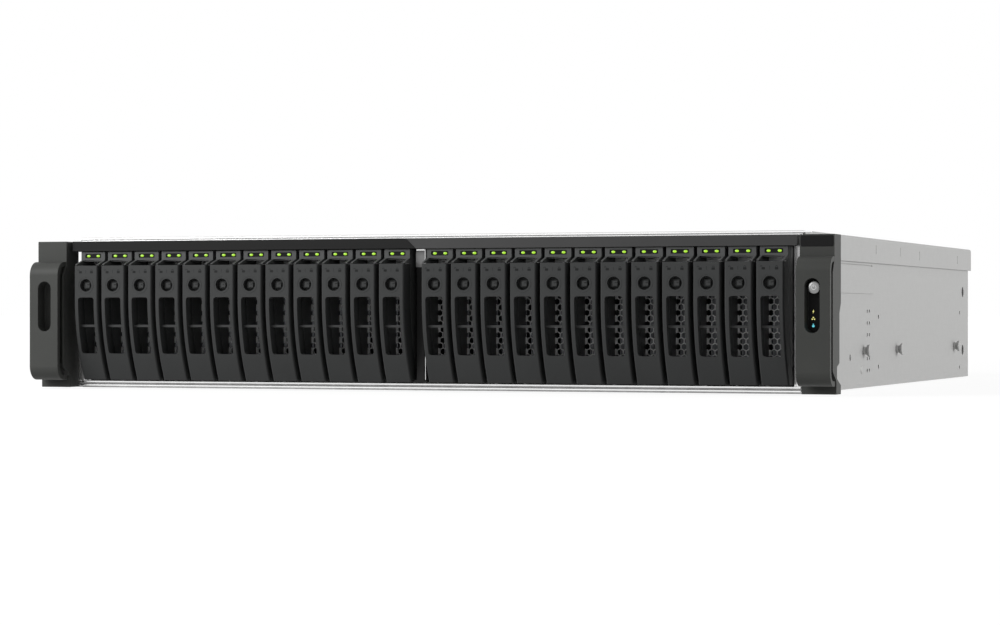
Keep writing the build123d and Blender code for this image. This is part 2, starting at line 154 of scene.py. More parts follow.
def shades(tree: Tree, factor: Socket, colour: str, low: float, high: float) -> Socket:
    """Blend between two shades of one colour.

    Args:
        tree: The node tree.
        factor: The pattern that picks the shade.
        colour: The colour, as sRGB hex.
        low: The first shade, as a share of the colour.
        high: The second shade, as a share of the colour.

    Returns:
        The blended colour.
    """
    tone = add_node(tree, "ShaderNodeMix", {"Factor": factor}, data_type="RGBA")
    for number, share in zip(MIX_COLOURS, (low, high)):
        mixed = [min(1.0, c * share) for c in linear(colour)[:3]]
        tone.inputs[number].default_value = (*mixed, 1.0)
    return tone.outputs[MIX_RESULT]


def relief(
    tree: Tree, pattern: Socket, roughness: float, swing: float, height: float, strength: float
) -> dict[str, Socket]:
    """Let one pattern vary the roughness and raise the surface.

    Args:
        tree: The node tree.
        pattern: The pattern's value.
        roughness: The middle roughness.
        swing: How far the roughness goes to either side.
        height: The relief's height, in millimetres.
        strength: How much of the relief shows.

    Returns:
        The shader's inputs for roughness and normal.
    """
    limits = {"Value": pattern, "To Min": roughness - swing, "To Max": roughness + swing}
    rough = add_node(tree, "ShaderNodeMapRange", limits)
    raised = {"Height": pattern, "Distance": height * MM, "Strength": strength}
    bump = add_node(tree, "ShaderNodeBump", raised)
    return {"Roughness": rough.outputs["Result"], "Normal": bump.outputs["Normal"]}


def blank_material(name: str) -> tuple[bpy.types.Material, Tree]:
    """Make an empty node material.

    Args:
        name: The material's name.

    Returns:
        The material and its node tree.
    """
    material = bpy.data.materials.new(name)
    material.use_nodes = True
    material.node_tree.nodes.clear()
    return material, material.node_tree


def object_place(tree: Tree) -> Socket:
    """Give the place on the object, in metres."""
    return add_node(tree, "ShaderNodeTexCoord").outputs["Object"]


def shade_surface(tree: Tree, inputs: Mapping[str | int, object]) -> None:
    """End a material with its surface shader and its output."""
    shader = add_node(tree, "ShaderNodeBsdfPrincipled", inputs)
    add_node(tree, "ShaderNodeOutputMaterial", {"Surface": shader.outputs["BSDF"]})


@dataclass(frozen=True)
class MouldedPlastic:
    """Injection-moulded ABS: a fine spark-eroded grain softens its highlights."""

    name: str
    colour: str
    roughness: float = 0.5
    specular: float = 0.15
    rough_swing: float = 0.05
    grain_size: float = 0.9
    grain_height: float = 0.012
    grain_strength: float = 0.6
    flow_size: float = 25.0
    tone_swing: float = 0.1

    def material(self) -> bpy.types.Material:
        """Build the node material, with the grain coarser than the real 0.1 mm so that it shows.

        Returns:
            The material.
        """
        material, tree = blank_material(self.name)
        place = object_place(tree)
        grain = noise(tree, place, 1 / (self.grain_size * MM))
        flow = noise(tree, place, 1 / (self.flow_size * MM))
        inputs = {
            "Base Color": shades(tree, flow, self.colour, 1 - self.tone_swing, 1 + self.tone_swing),
            "Specular IOR Level": self.specular,
            **relief(
                tree, grain, self.roughness, self.rough_swing, self.grain_height, self.grain_strength
            ),
        }
        shade_surface(tree, inputs)
        return material


@dataclass(frozen=True)
class RolledSheet:
    """Zinc-plated or nickel-plated steel sheet: a satin metal with faint rolling lines."""

    name: str
    colour: str
    roughness: float = 0.42
    metallic: float = 1.0
    rough_swing: float = 0.06
    line_spacing: float = 0.6
    line_height: float = 0.004
    line_strength: float = 0.5
    line_squeeze: float = 0.02
    spangles_per_metre: float = 220.0
    mottle: float = 0.04

    def material(self) -> bpy.types.Material:
        """Build the node material; its rolling lines run from front to back.

        Returns:
            The material.
        """
        material, tree = blank_material(self.name)
        place = object_place(tree)
        squeeze = {"Vector": place, "Scale": (1.0, self.line_squeeze, 1.0)}
        along = add_node(tree, "ShaderNodeMapping", squeeze).outputs["Vector"]
        lines = noise(tree, along, 1 / (self.line_spacing * MM), 3.0)
        spangle = noise(tree, place, self.spangles_per_metre, 4.0)
        inputs = {
            "Base Color": shades(tree, spangle, self.colour, 1 - self.mottle, 1 + self.mottle),
            "Metallic": self.metallic,
            **relief(
                tree, lines, self.roughness, self.rough_swing, self.line_height, self.line_strength
            ),
        }
        shade_surface(tree, inputs)
        return material


@dataclass(frozen=True)
class LampLens:
    """Clear polycarbonate light pipe with a lit diode behind it: an even glow, a little cloudy."""

    name: str
    colour: str
    strength: float = 1.0
    roughness: float = 0.2
    body: float = 0.01
    clouds_per_metre: float = 900.0
    dim_share: float = 0.85

    def material(self) -> bpy.types.Material:
        """Build the node material; its glow is clouded so that the lens doesn't look painted.

        Returns:
            The material.
        """
        material, tree = blank_material(self.name)
        cloud = noise(tree, object_place(tree), self.clouds_per_metre)
        inputs = {
            "Base Color": (self.body, self.body, self.body, 1.0),
            "Roughness": self.roughness,
            "Emission Color": shades(tree, cloud, self.colour, self.dim_share, 1.0),
            "Emission Strength": self.strength,
        }
        shade_surface(tree, inputs)
        return material


Finish = MouldedPlastic | RolledSheet | LampLens

# Mouldings of the bays: matt charcoal, the trays painted a little paler than the levers as a painted
# lift against the shade that the trim casts on their heads, and nearly black wells and print.
LEVER_PLASTIC = MouldedPlastic("moulded_abs_lever", "#3C3D3D")
LOCK_PLASTIC = MouldedPlastic("moulded_abs_lock_knob", "#262727")
TRAY_PLASTIC = MouldedPlastic("moulded_abs_tray", "#585959")
WELL_PLASTIC = MouldedPlastic("moulded_abs_dark_well", "#0C0C0C", roughness=0.6)
PRINT_INK = MouldedPlastic("pad_printed_mark", "#1A1B1B", roughness=0.6)
# Mouldings of the front's rim: the trim nearly black, its length right of the joint a paler copy of the
# same plastic as painted highlight for the light on its leaning face, dark grey ears, and a white print
# on the button.
TRIM_DARK = MouldedPlastic("moulded_abs_trim_dark", "#131313")
TRIM_PAINTED_HIGHLIGHT = MouldedPlastic("moulded_abs_trim_light", "#3E3E3E")
EAR_PLASTIC = MouldedPlastic("moulded_pc_abs_ear", "#434442")
BUTTON_MARK = MouldedPlastic("white_pad_print", "#E6E6E6", roughness=0.4)
# Mouldings of the inside and the rear: satin black connectors, a green tab, a glossier board.
SOLDER_MASK = MouldedPlastic("epoxy_glass_solder_mask", "#1C5A38", roughness=0.3, specular=0.5)
FAN_PLASTIC = MouldedPlastic("glass_filled_pbt_fan", "#1D1D1D")
CONNECTOR_PLASTIC = MouldedPlastic("moulded_nylon_connector", "#141414", roughness=0.45)
LATCH_PLASTIC = MouldedPlastic("moulded_nylon_release_tab", "#3E7A55", roughness=0.45)
# Sheet of the casing: dull zinc outside, bright nickel round the bays, which mirrors what is round it,
# a darker copy of it as painted shade on the post's head, and darker speckled sheet as painted shade in
# the flange's gaps.
ZINC_SHEET = RolledSheet("electro_zinc_plated_steel", "#B2B2B1", roughness=0.6, metallic=0.35)
BRIGHT_SHEET = RolledSheet("bright_nickel_plated_steel", "#F4F4F4", roughness=0.25, mottle=0.02)
BRACKET_SHEET = RolledSheet("shaded_bracket_sheet", "#6E6E6E", roughness=0.5, metallic=0.5)
GAP_SHADE_SHEET = RolledSheet("cut_sheet_edge_speckle", "#9A9A9A", roughness=0.5, line_spacing=0.9, mottle=0.35)
# Small metal parts: pale perforated plates, a satin button, grey drive cases, yellowish pins.
GRILLE_SHEET = RolledSheet("etched_steel_grille", "#F2F2F2", roughness=0.4, metallic=0.3)
BUTTON_METAL = RolledSheet("satin_metallised_cap", "#8C8C8C", roughness=0.35)
DRIVE_CASE = RolledSheet("die_cast_drive_case", "#8E9093", roughness=0.45)
SUPPLY_SHEET = RolledSheet("satin_aluminium_case", "#A9ABAC", roughness=0.4)
PIN_METAL = RolledSheet("tinned_brass_pin", "#C9C2A8", roughness=0.3)
# Lit lenses: strong enough to show their colour, too weak to light what is round them.
GREEN_LAMP = LampLens("green_lamp_lens", "#B4F02C")
YELLOW_LAMP = LampLens("yellow_lamp_lens", "#F2EB8C")
CYAN_LAMP = LampLens("cyan_lamp_lens", "#62D6E6")


def material_of(finish: Finish) -> bpy.types.Material:
    """Give the finish's material, made the first time it is asked for."""
    return bpy.data.materials.get(finish.name) or finish.material()


def arc(centre: Flat, radius: float, start: float, end: float, steps: int) -> list[Flat]:
    """Draw an arc.

    Args:
        centre: Its centre.
        radius: Its radius.
        start: The angle where it starts, in degrees.
        end: The angle where it ends, in degrees.
        steps: How many segments it has.

    Returns:
        Its points from start to end.
    """
    angles = [math.radians(start + (end - start) * step / steps) for step in range(steps + 1)]
    return [(centre[0] + radius * math.cos(a), centre[1] + radius * math.sin(a)) for a in angles]


def rounded(half_width: float, half_height: float, radius: float, steps: int = 5) -> list[Flat]:
    """Draw a rectangle with round corners, about the origin.

    Args:
        half_width: Half the size along the first direction.
        half_height: Half the size along the second direction.
        radius: The corners' radius.
        steps: Segments in each corner.

    Returns:
        The outline's points, anticlockwise.
    """
    points = []
    for quarter, (sx, sy) in enumerate(((1, 1), (-1, 1), (-1, -1), (1, -1))):
        corner = (sx * (half_width - radius), sy * (half_height - radius))
        points += arc(corner, radius, 90.0 * quarter, 90.0 * quarter + 90.0, steps)
    return points


def disc(radius: float, sides: int = 32) -> list[Flat]:
    """Draw a circle about the origin, as a polygon."""
    turns = [2 * math.pi * step / sides for step in range(sides)]
    return [(radius * math.cos(turn), radius * math.sin(turn)) for turn in turns]


def shifted(outline: Iterable[Flat], by: Flat) -> list[Flat]:
    """Move a flat outline."""
    return [(a + by[0], b + by[1]) for a, b in outline]


def in_space(point: Flat, axis: Axis, along: float) -> Point:
    """Lift a flat point into space.

    Args:
        point: Its places in the two other directions.
        axis: The direction that it lacks.
        along: Its place in that direction.

    Returns:
        The point.
    """
    values = list(point)
    values.insert(axis.value, along)
    return (values[0], values[1], values[2])


def outward(side: Side, near: float, far: float) -> Flat:
    """Give the low and the high X of a span on one side, from its distances to the middle."""
    low, high = sorted((side.value * near, side.value * far))
    return low, high


class Solid:
    """A closed mesh under construction, in millimetres, as (x, depth, height)."""

    def __init__(self) -> None:
        """Start with no faces."""
        self.mesh = bmesh.new()

    def box(self, low: Point, high: Point) -> Solid:
        """Add a box given by its lowest and highest corners."""
        outline = [(low[0], low[1]), (high[0], low[1]), (high[0], high[1]), (low[0], high[1])]
        return self.prism(outline, Axis.HEIGHT, low[2], high[2])

    def prism(
        self, outline: Sequence[Flat], axis: Axis, low: float, high: float, at: Flat = (0.0, 0.0)
    ) -> Solid:
        """Add a prism.

        Args:
            outline: Points in the two other directions, in the order x, depth, height.
            axis: The direction that it runs along.
            low: Where it starts.
            high: Where it ends.
            at: Where the outline's origin lies.

        Returns:
            This solid.
        """
        placed = shifted(outline, at)
        return self.loft([[in_space(point, axis, along) for point in placed] for along in (low, high)])

    def loft(self, rings: Sequence[Sequence[Point]]) -> Solid:
        """Skin closed rings in order and close both ends.

        Args:
            rings: Rings of equally many points.

        Returns:
            This solid.
        """
        skins = [[self.mesh.verts.new(point) for point in ring] for ring in rings]
        faces = [self.mesh.faces.new(skins[0][::-1]), self.mesh.faces.new(skins[-1])]
        for near, far in zip(skins, skins[1:]):
            for i in range(len(near)):
                after = (i + 1) % len(near)
                faces.append(self.mesh.faces.new((near[i], near[after], far[after], far[i])))
        bmesh.ops.recalc_face_normals(self.mesh, faces=faces)
        return self

    def turned(self, profile: Sequence[Flat], centre: Point, axis: Axis, sides: int = 32) -> Solid:
        """Add a form turned about an axis.

        Args:
            profile: (radius, place along the axis) from one end to the other, all radii above zero.
            centre: A point on the axis.
            axis: The direction of the axis.
            sides: Segments around it.

        Returns:
            This solid.
        """
        rings = []
        for radius, along in profile:
            ring = [in_space(point, axis, along) for point in disc(radius, sides)]
            rings.append([tuple(v + c for v, c in zip(point, centre)) for point in ring])
        return self.loft(rings)

    def mirrored(self) -> Solid:
        """Turn a right-hand form to its left-hand one.

        Returns:
            This solid.
        """
        bmesh.ops.scale(self.mesh, verts=self.mesh.verts, vec=(-1, 1, 1))
        bmesh.ops.reverse_faces(self.mesh, faces=self.mesh.faces)
        return self

    def holder(self) -> bpy.types.Object:
        """Put a copy of the mesh in a throwaway object.

        Returns:
            The object.
        """
        data = bpy.data.meshes.new("draft")
        self.mesh.to_mesh(data)
        item = bpy.data.objects.new("draft", data)
        bpy.context.scene.collection.objects.link(item)
        return item

    def absorb(self, item: bpy.types.Object) -> Solid:
        """Take an object's evaluated mesh as this solid's, and drop the object.

        Args:
            item: The object.

        Returns:
            This solid.
        """
        data = evaluated(item)
        self.mesh.clear()
        self.mesh.from_mesh(data)
        bpy.data.meshes.remove(data)
        discard(item)
        return self

    def boolean(self, other: Solid, how: Join) -> Solid:
        """Add another closed form to this one, or cut it out.

        Args:
            other: The form that acts.
            how: Whether it adds or cuts.

        Returns:
            This solid.
        """
        base, tool = self.holder(), other.holder()
        modifier = base.modifiers.new("form", "BOOLEAN")
        modifier.operation = how.value
        modifier.solver = "EXACT"
        modifier.object = tool
        self.absorb(base)
        discard(tool)
        bmesh.ops.remove_doubles(self.mesh, verts=self.mesh.verts, dist=JOIN_GAP)
        return self

    def cut(self, *others: Solid) -> Solid:
        """Cut other forms out.

        Args:
            others: The forms, in order.

        Returns:
            This solid.
        """
        for other in others:
            self.boolean(other, Join.CUT)
        return self

    def add(self, *others: Solid) -> Solid:
        """Fuse other forms on.

        Args:
            others: The forms, in order.

        Returns:
            This solid.
        """
        for other in others:
            self.boolean(other, Join.ADD)
        return self

    def finished(self, edge: float = 0.0, steps: int = 2) -> bpy.types.Mesh:
        """Round the edges and turn the form to a mesh in metres, in the row frame.

        Args:
            edge: The width of the rounding, or zero for none.
            steps: Segments in the rounding.

        Returns:
            The mesh.
        """
        parts = self.mesh
        bmesh.ops.remove_doubles(parts, verts=parts.verts, dist=WELD_GAP)
        flat = math.radians(FLAT_ANGLE)
        bmesh.ops.dissolve_limit(parts, angle_limit=flat, verts=parts.verts, edges=parts.edges)
        item = self.holder()
        for face in item.data.polygons:
            face.use_smooth = True
        sharp = math.radians(SHARP_ANGLE)
        item.data.set_sharp_from_angle(angle=sharp)
        if edge:
            bevel = item.modifiers.new("edges", "BEVEL")
            bevel.width = edge
            bevel.segments = steps
            bevel.limit_method = "ANGLE"
            bevel.angle_limit = sharp
            bevel.use_clamp_overlap = True
            normals = item.modifiers.new("normals", "WEIGHTED_NORMAL")
            normals.keep_sharp = True
        data = evaluated(item)
        discard(item)
        data.transform(Matrix.Translation((0.0, FRONT, 0.0)))
        data.transform(Matrix.Scale(MM, 4))
        return data


def evaluated(item: bpy.types.Object) -> bpy.types.Mesh:
    """Give an object's mesh with its modifiers applied.

    Args:
        item: The object.

    Returns:
        A new mesh.
    """
    graph = bpy.context.evaluated_depsgraph_get()
    graph.update()
    return bpy.data.meshes.new_from_object(item.evaluated_get(graph))


def discard(item: bpy.types.Object) -> None:
    """Remove a throwaway object and its mesh.

    Args:
        item: The object.
    """
    data = item.data
    bpy.data.objects.remove(item)
    bpy.data.meshes.remove(data)


def seat(
    name: str,
    mesh: bpy.types.Mesh,
    finish: Finish,
    body: str,
    replaced: Sequence[str] = (),
    x: float = 0.0,
) -> None:
    """Make a piece of a mesh and put it on its body.

    Args:
        name: The piece's name.
        mesh: Its mesh, in metres; it is copied.
        finish: Its finish.
        body: The body that carries it.
        replaced: The frame's nodes that it stands for.
        x: How far to the right it goes, in millimetres.
    """
    data = mesh.copy()
    data.name = name
    if x:
        data.transform(Matrix.Translation((x * MM, 0.0, 0.0)))
    data.materials.clear()
    data.materials.append(material_of(finish))
    item = bpy.data.objects.new(name, data)
    bpy.context.scene.collection.objects.link(item)
    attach(item, body)
    if replaced:
        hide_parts(*replaced)
    LOG.info("%s rides on %s with %d faces", name, body, len(data.polygons))


class NodeForm:
    """A Geometry Nodes tree under construction, with named inputs."""

    def __init__(self, name: str, inputs: Mapping[str, str]) -> None:
        """Start a tree with a geometry input, a geometry output and named inputs.

        Args:
            name: The tree's name.
            inputs: The kind of socket of each input, by name.
        """
        self.tree = bpy.data.node_groups.new(name, "GeometryNodeTree")
        sockets = self.tree.interface
        sockets.new_socket("Geometry", in_out="INPUT", socket_type="NodeSocketGeometry")
        sockets.new_socket("Geometry", in_out="OUTPUT", socket_type="NodeSocketGeometry")
        for label, kind in inputs.items():
            sockets.new_socket(label, in_out="INPUT", socket_type=f"NodeSocket{kind}")

    def identifier(self, name: str) -> str:
        """Give the identifier of a named input."""
        items = self.tree.interface.items_tree
        return next(i.identifier for i in items if i.name == name and i.in_out == "INPUT")

    def node(
        self, kind: str, inputs: Mapping[str | int, object] | None = None, **settings: object
    ) -> bpy.types.Node:
        """Add a node to the tree, as add_node does."""
        return add_node(self.tree, kind, inputs, **settings)

    def apply(self, solid: Solid, values: Mapping[str, object]) -> Solid:
        """Run the tree on a solid.

        Args:
            solid: The form that it changes.
            values: The inputs' values, by name.

        Returns:
            The changed solid.
        """
        item = solid.holder()
        modifier = item.modifiers.new(self.tree.name, "NODES")
        modifier.node_group = self.tree
        for name, value in values.items():
            modifier[self.identifier(name)] = value
        return solid.absorb(item)


def perforation() -> NodeForm:
    """Build the tree that punches a staggered field of holes through an upright plate.

    Returns:
        The tree, with inputs for the field's centre, counts, pitches and the punch.
    """
    inputs = {
        "Centre": "Vector",
        "Columns": "Int",
        "Rows": "Int",
        "Pitch": "Float",
        "Row Pitch": "Float",
        "Radius": "Float",
        "Sides": "Int",
        "Length": "Float",
        "Finish": "Material",
    }
    form = NodeForm("perforation", inputs)
    tree = form.tree
    given = form.node("NodeGroupInput").outputs
    field = form.node("GeometryNodeJoinGeometry")
    for row_shift in (0.0, 1.0):
        width = reckon(tree, "SUBTRACT", given["Columns"], 1.0)
        rows = reckon(tree, "SUBTRACT", given["Rows"], row_shift)
        gaps = reckon(tree, "SUBTRACT", rows, 1.0)
        rise = reckon(tree, "MULTIPLY", gaps, given["Row Pitch"])
        sizes = {
            "Size X": reckon(tree, "MULTIPLY", width, given["Pitch"]),
            "Size Y": reckon(tree, "MULTIPLY", rise, 2.0),
            "Vertices X": given["Columns"],
            "Vertices Y": rows,
        }
        grid = form.node("GeometryNodeMeshGrid", sizes).outputs["Mesh"]
        half = reckon(tree, "MULTIPLY", given["Pitch"], 0.5 * row_shift)
        shift = form.node("ShaderNodeCombineXYZ", {"X": half}).outputs[0]
        moved = form.node("GeometryNodeTransform", {"Geometry": grid, "Translation": shift})
        tree.links.new(moved.outputs["Geometry"], field.inputs[0])
    upright = {
        "Geometry": field.outputs[0],
        "Translation": given["Centre"],
        "Rotation": (math.pi / 2, 0.0, 0.0),
    }
    standing = form.node("GeometryNodeTransform", upright)
    shape = {"Vertices": given["Sides"], "Radius": given["Radius"], "Depth": given["Length"]}
    punch = form.node("GeometryNodeMeshCylinder", shape)
    instances = {
        "Points": standing.outputs["Geometry"],
        "Instance": punch.outputs["Mesh"],
        "Rotation": (math.pi / 2, math.pi / 6, 0.0),
    }
    placed = form.node("GeometryNodeInstanceOnPoints", instances).outputs["Instances"]
    real = form.node("GeometryNodeRealizeInstances", {"Geometry": placed}).outputs["Geometry"]
    pair = {"Mesh 1": given["Geometry"], "Mesh 2": real}
    holes = form.node("GeometryNodeMeshBoolean", pair, operation="DIFFERENCE", solver="EXACT")
    finish = {"Geometry": holes.outputs["Mesh"], "Material": given["Finish"]}
    dressed = form.node("GeometryNodeSetMaterial", finish)
    form.node("NodeGroupOutput", {0: dressed.outputs["Geometry"]})
    return form


@dataclass(frozen=True)
class HoleField:
    """A staggered field of six-sided holes; the rows are counted in pairs."""

    centre: Point
    columns: int
    row_pairs: int
    pitch: float
    radius: float
    length: float
    finish: Finish

    def punched(self, plate: Solid, punch: NodeForm) -> Solid:
        """Punch the field through a plate.

        Args:
            plate: The upright plate.
            punch: The perforation tree.

        Returns:
            The plate.
        """
        values = {
            "Centre": self.centre,
            "Columns": self.columns,
            "Rows": self.row_pairs,
            "Pitch": self.pitch,
            "Row Pitch": self.pitch * ROOT_3 / 2,
            "Radius": self.radius,
            "Sides": 6,
            "Length": self.length,
            "Finish": material_of(self.finish),
        }
        return punch.apply(plate, values)


@dataclass
class Bays:
    """Where the 24 drive bays stand, 12 each side of the centre post."""

    count: int = 24

    def centres(self) -> list[tuple[int, float]]:
        """Number the bays from the left, and read each one's centre from the frame.

        Returns:
            Pairs of bay number and X.
        """
        found = []
        for number in range(1, self.count + 1):
            low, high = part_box(f"tray_{number:02d}")
            found.append((number, (low[0] + high[0]) / 2 / MM))
        return found


@dataclass
class Levers:
    """The curved lever that closes each bay, with its window, lock and hub."""

    half_width: float = 7.7
    face_half: float = 6.75
    corner_depth: float = 1.5
    proud: float = 21.4
    top: float = 71.6
    bottom: float = 4.7
    bend_height: float = 52.4
    bend_radius: float = 103.0
    side_depth: float = 10.0
    skin: float = 2.2
    side_wall: float = 1.3
    pivot: Flat = (-4.5, 9.0)
    hub_radius: float = 4.3
    hub_start: float = 67.0
    corner_steps: int = 5
    arc_steps: int = 18
    hub_steps: int = 10
    window_half: float = 5.15
    window_low: float = 20.2
    window_high: float = 53.0
    window_corner: float = 1.5
    window_back: float = -9.0
    frame_depth: float = 5.2
    frame_margin: float = 1.4
    bar_height: float = 36.4
    bar_sheet: float = 1.4
    bar_front: float = -17.6
    bar_back: float = -15.6
    lock_height: float = 60.1
    lock_radius: float = 3.68
    lock_floor: float = -17.8
    cup_radius: float = 4.9
    cup_back: float = -16.4
    ring_radius: float = 4.6
    ring_width: float = 0.25
    ring_proud: float = 0.12
    ring_root: float = 0.5
    knob_half: float = 2.3
    knob_corner: float = 0.8
    knob_shift: float = 0.3
    knob_front: float = -19.5
    pointer_half: float = 1.45
    pointer_corner: float = 0.5
    pointer_front: float = -20.1
    notch: Flat = (0.1, 0.5)
    icon_height: float = 68.2
    icon_rise: float = 1.1
    icon_proud: float = 0.03
    open_lock: Flat = (-3.5, 1.2)
    shut_lock: Flat = (3.8, 0.0)
    lock_half: Flat = (0.95, 0.65)
    shackle_radii: Flat = (0.7, 0.4)
    shackle_height: float = 1.5
    divider: Flat = (0.08, 2.0)

    def stations(self) -> list[tuple[Flat, Flat]]:
        """Pair points of the front line with points of the back line, from the top to the bottom.

        Returns:
            Pairs of (depth, height), front and back.
        """
        centre = (self.bend_radius - self.proud, self.bend_height)
        back_radius = self.bend_radius - self.side_depth
        last = math.asin((self.bend_height - self.bottom) / self.bend_radius)
        hub_top = self.pivot[1] + self.hub_radius * math.sin(math.radians(self.hub_start))
        meet = math.asin((self.bend_height - hub_top) / back_radius)

        def on_bend(radius: float, angle: float) -> Flat:
            """Find a point of the bend, as (depth, height)."""
            return (centre[0] - radius * math.cos(angle), centre[1] - radius * math.sin(angle))

        pairs = [((-self.proud, self.top), (self.side_depth - self.proud, self.top))]
        for step in range(self.arc_steps + 1):
            angle = meet * step / self.arc_steps
            pairs.append((on_bend(self.bend_radius, angle), on_bend(back_radius, angle)))
        hub = arc(self.pivot, self.hub_radius, self.hub_start, -90.0, self.hub_steps)
        for step in range(1, self.hub_steps + 1):
            angle = meet + (last - meet) * step / self.hub_steps
            pairs.append((on_bend(self.bend_radius, angle), hub[step]))
        return pairs

    def across(
        self, front: Flat, back: Flat, section: Sequence[tuple[float, float | None]]
    ) -> list[Point]:
        """Lay a section along the line from a front point to a back point.

        Args:
            front: (depth, height) at the front.
            back: (depth, height) at the back.
            section: (x, distance behind the front) pairs; None stands for the back point.

        Returns:
            The ring's points.
        """
        reach = math.dist(front, back)
        ring = []
        for x, distance in section:
            share = 1.0 if distance is None else distance / reach
            depth, height = [a + (b - a) * share for a, b in zip(front, back)]
            ring.append((x, depth, height))
        return ring

    def hollow(self) -> Solid:
        """Form the space inside the channel, deeper round the window.

        Returns:
            The closed cutter.
        """
        half = self.half_width - self.side_wall
        rings = []
        for index, (front, back) in enumerate(self.stations()):
            reach = math.dist(front, back)
            past = tuple(b + (b - a) / reach for a, b in zip(front, back))
            if index == 0:
                front = (front[0], front[1] - self.skin)
                past = (past[0], past[1] - self.skin)
            low, high = self.window_low - self.frame_margin, self.window_high + self.frame_margin
            depth = self.frame_depth if low < front[1] < high else self.skin
            section = [(half, None), (half, depth), (-half, depth), (-half, None)]
            rings.append(self.across(front, past, section))
        rings.append([(x, depth, height - self.skin) for x, depth, height in rings[-1]])
        return Solid().loft(rings)

    def shell(self) -> Solid:
        """Form the channel with its round front corners and its hub.

        Returns:
            The closed shell.
        """
        corner = []
        for step in range(self.corner_steps + 1):
            angle = math.pi / 2 * (1 - step / self.corner_steps)
            x = self.face_half + (self.half_width - self.face_half) * math.sin(angle)
            corner.append((x, self.corner_depth * (1 - math.cos(angle))))
        right = [(self.half_width, None), *corner]
        left = [(-x, distance) for x, distance in reversed(right)]
        rings = [self.across(front, back, right + left) for front, back in self.stations()]
        return Solid().loft(rings).cut(self.hollow())

    def window(self) -> Solid:
        """Give the cutter of the window.

        Returns:
            The closed cutter.
        """
        middle = (self.window_low + self.window_high) / 2
        half = (self.window_high - self.window_low) / 2
        outline = rounded(self.window_half, half, self.window_corner)
        return Solid().prism(outline, Axis.DEPTH, -self.proud - 1, self.window_back, (0.0, middle))

    def round_at_lock(self, radius: float, front: float, back: float, sides: int = 40) -> Solid:
        """Give a round bar about the lock's axis."""
        at = (0.0, self.lock_height)
        return Solid().prism(disc(radius, sides), Axis.DEPTH, front, back, at)

    def body(self) -> bpy.types.Mesh:
        """Form the whole lever.

        Returns:
            Its mesh.
        """
        inner = self.half_width - self.side_wall / 2
        half_bar = self.bar_sheet / 2
        bar = Solid().box(
            (-inner, self.bar_front, self.bar_height - half_bar),
            (inner, self.bar_back, self.bar_height + half_bar),
        )
        face = -self.proud
        cup = self.round_at_lock(self.cup_radius, face + self.skin / 2, self.cup_back, 32)
        outer = self.ring_radius + self.ring_width
        ring = self.round_at_lock(outer, face - self.ring_proud, face + self.ring_root)
        ring.cut(self.round_at_lock(self.ring_radius, face - 1, face))
        recess = self.round_at_lock(self.lock_radius, face - 1, self.lock_floor)
        return self.shell().cut(self.window()).add(bar, cup, ring).cut(recess).finished(0.18)

    def knob(self) -> bpy.types.Mesh:
        """Form the square lock knob.

        Returns:
            Its mesh.
        """
        outline = rounded(self.knob_half, self.knob_half, self.knob_corner)
        at = (self.knob_shift / 2, self.lock_height)
        form = Solid().prism(outline, Axis.DEPTH, self.knob_front, self.lock_floor, at)
        return form.finished(0.3)

    def pointer(self) -> bpy.types.Mesh:
        """Form the small raised square on the knob, with a notch from its middle to its right edge.

        Returns:
            Its mesh.
        """
        outline = rounded(self.pointer_half, self.pointer_half, self.pointer_corner)
        x, root = self.knob_shift + 0.2, self.knob_front + 0.2
        at = (x, self.lock_height - 0.1)
        form = Solid().prism(outline, Axis.DEPTH, self.pointer_front, root, at)
        low, high = [self.lock_height + rise for rise in self.notch]
        notch = Solid().box(
            (x, self.pointer_front - 1, low),
            (self.knob_shift + 3.0, self.pointer_front + 0.3, high),
        )
        return form.cut(notch).finished(0.2)

    def marks(self) -> bpy.types.Mesh:
        """Form the printed open padlock, divider and closed padlock.

        Returns:
            Their mesh.
        """
        front, back = -self.proud - self.icon_proud, -self.proud + self.icon_proud
        form = Solid()
        low = self.icon_height - self.icon_rise
        for x, opening in (self.open_lock, self.shut_lock):
            at = (x, low + self.lock_half[1])
            form.prism(rounded(*self.lock_half, 0.2, 2), Axis.DEPTH, front, back, at)
            top = (x - opening, low + self.shackle_height)
            outer, inner = [arc(top, radius, 0.0, 180.0, 8) for radius in self.shackle_radii]
            form.prism(outer + inner[::-1], Axis.DEPTH, front, back)
        half, height = self.divider
        form.box((-half, front, low), (half, back, low + height))
        return form.finished()

    def build(self, bays: Bays) -> None:
        """Put a lever, its knob and its marks in each bay.

        Args:
            bays: The bays.
        """
        shell, knob, pointer, marks = self.body(), self.knob(), self.pointer(), self.marks()
        for number, x in bays.centres():
            body = f"lever_{number:02d}"
            seat(f"{body}_shell", shell, LEVER_PLASTIC, body, [body], x)
            seat(f"{body}_lock_knob", knob, LOCK_PLASTIC, body, (), x)
            seat(f"{body}_lock_pointer", pointer, LEVER_PLASTIC, body, (), x)
            seat(f"{body}_lock_marks", marks, PRINT_INK, body, (), x)


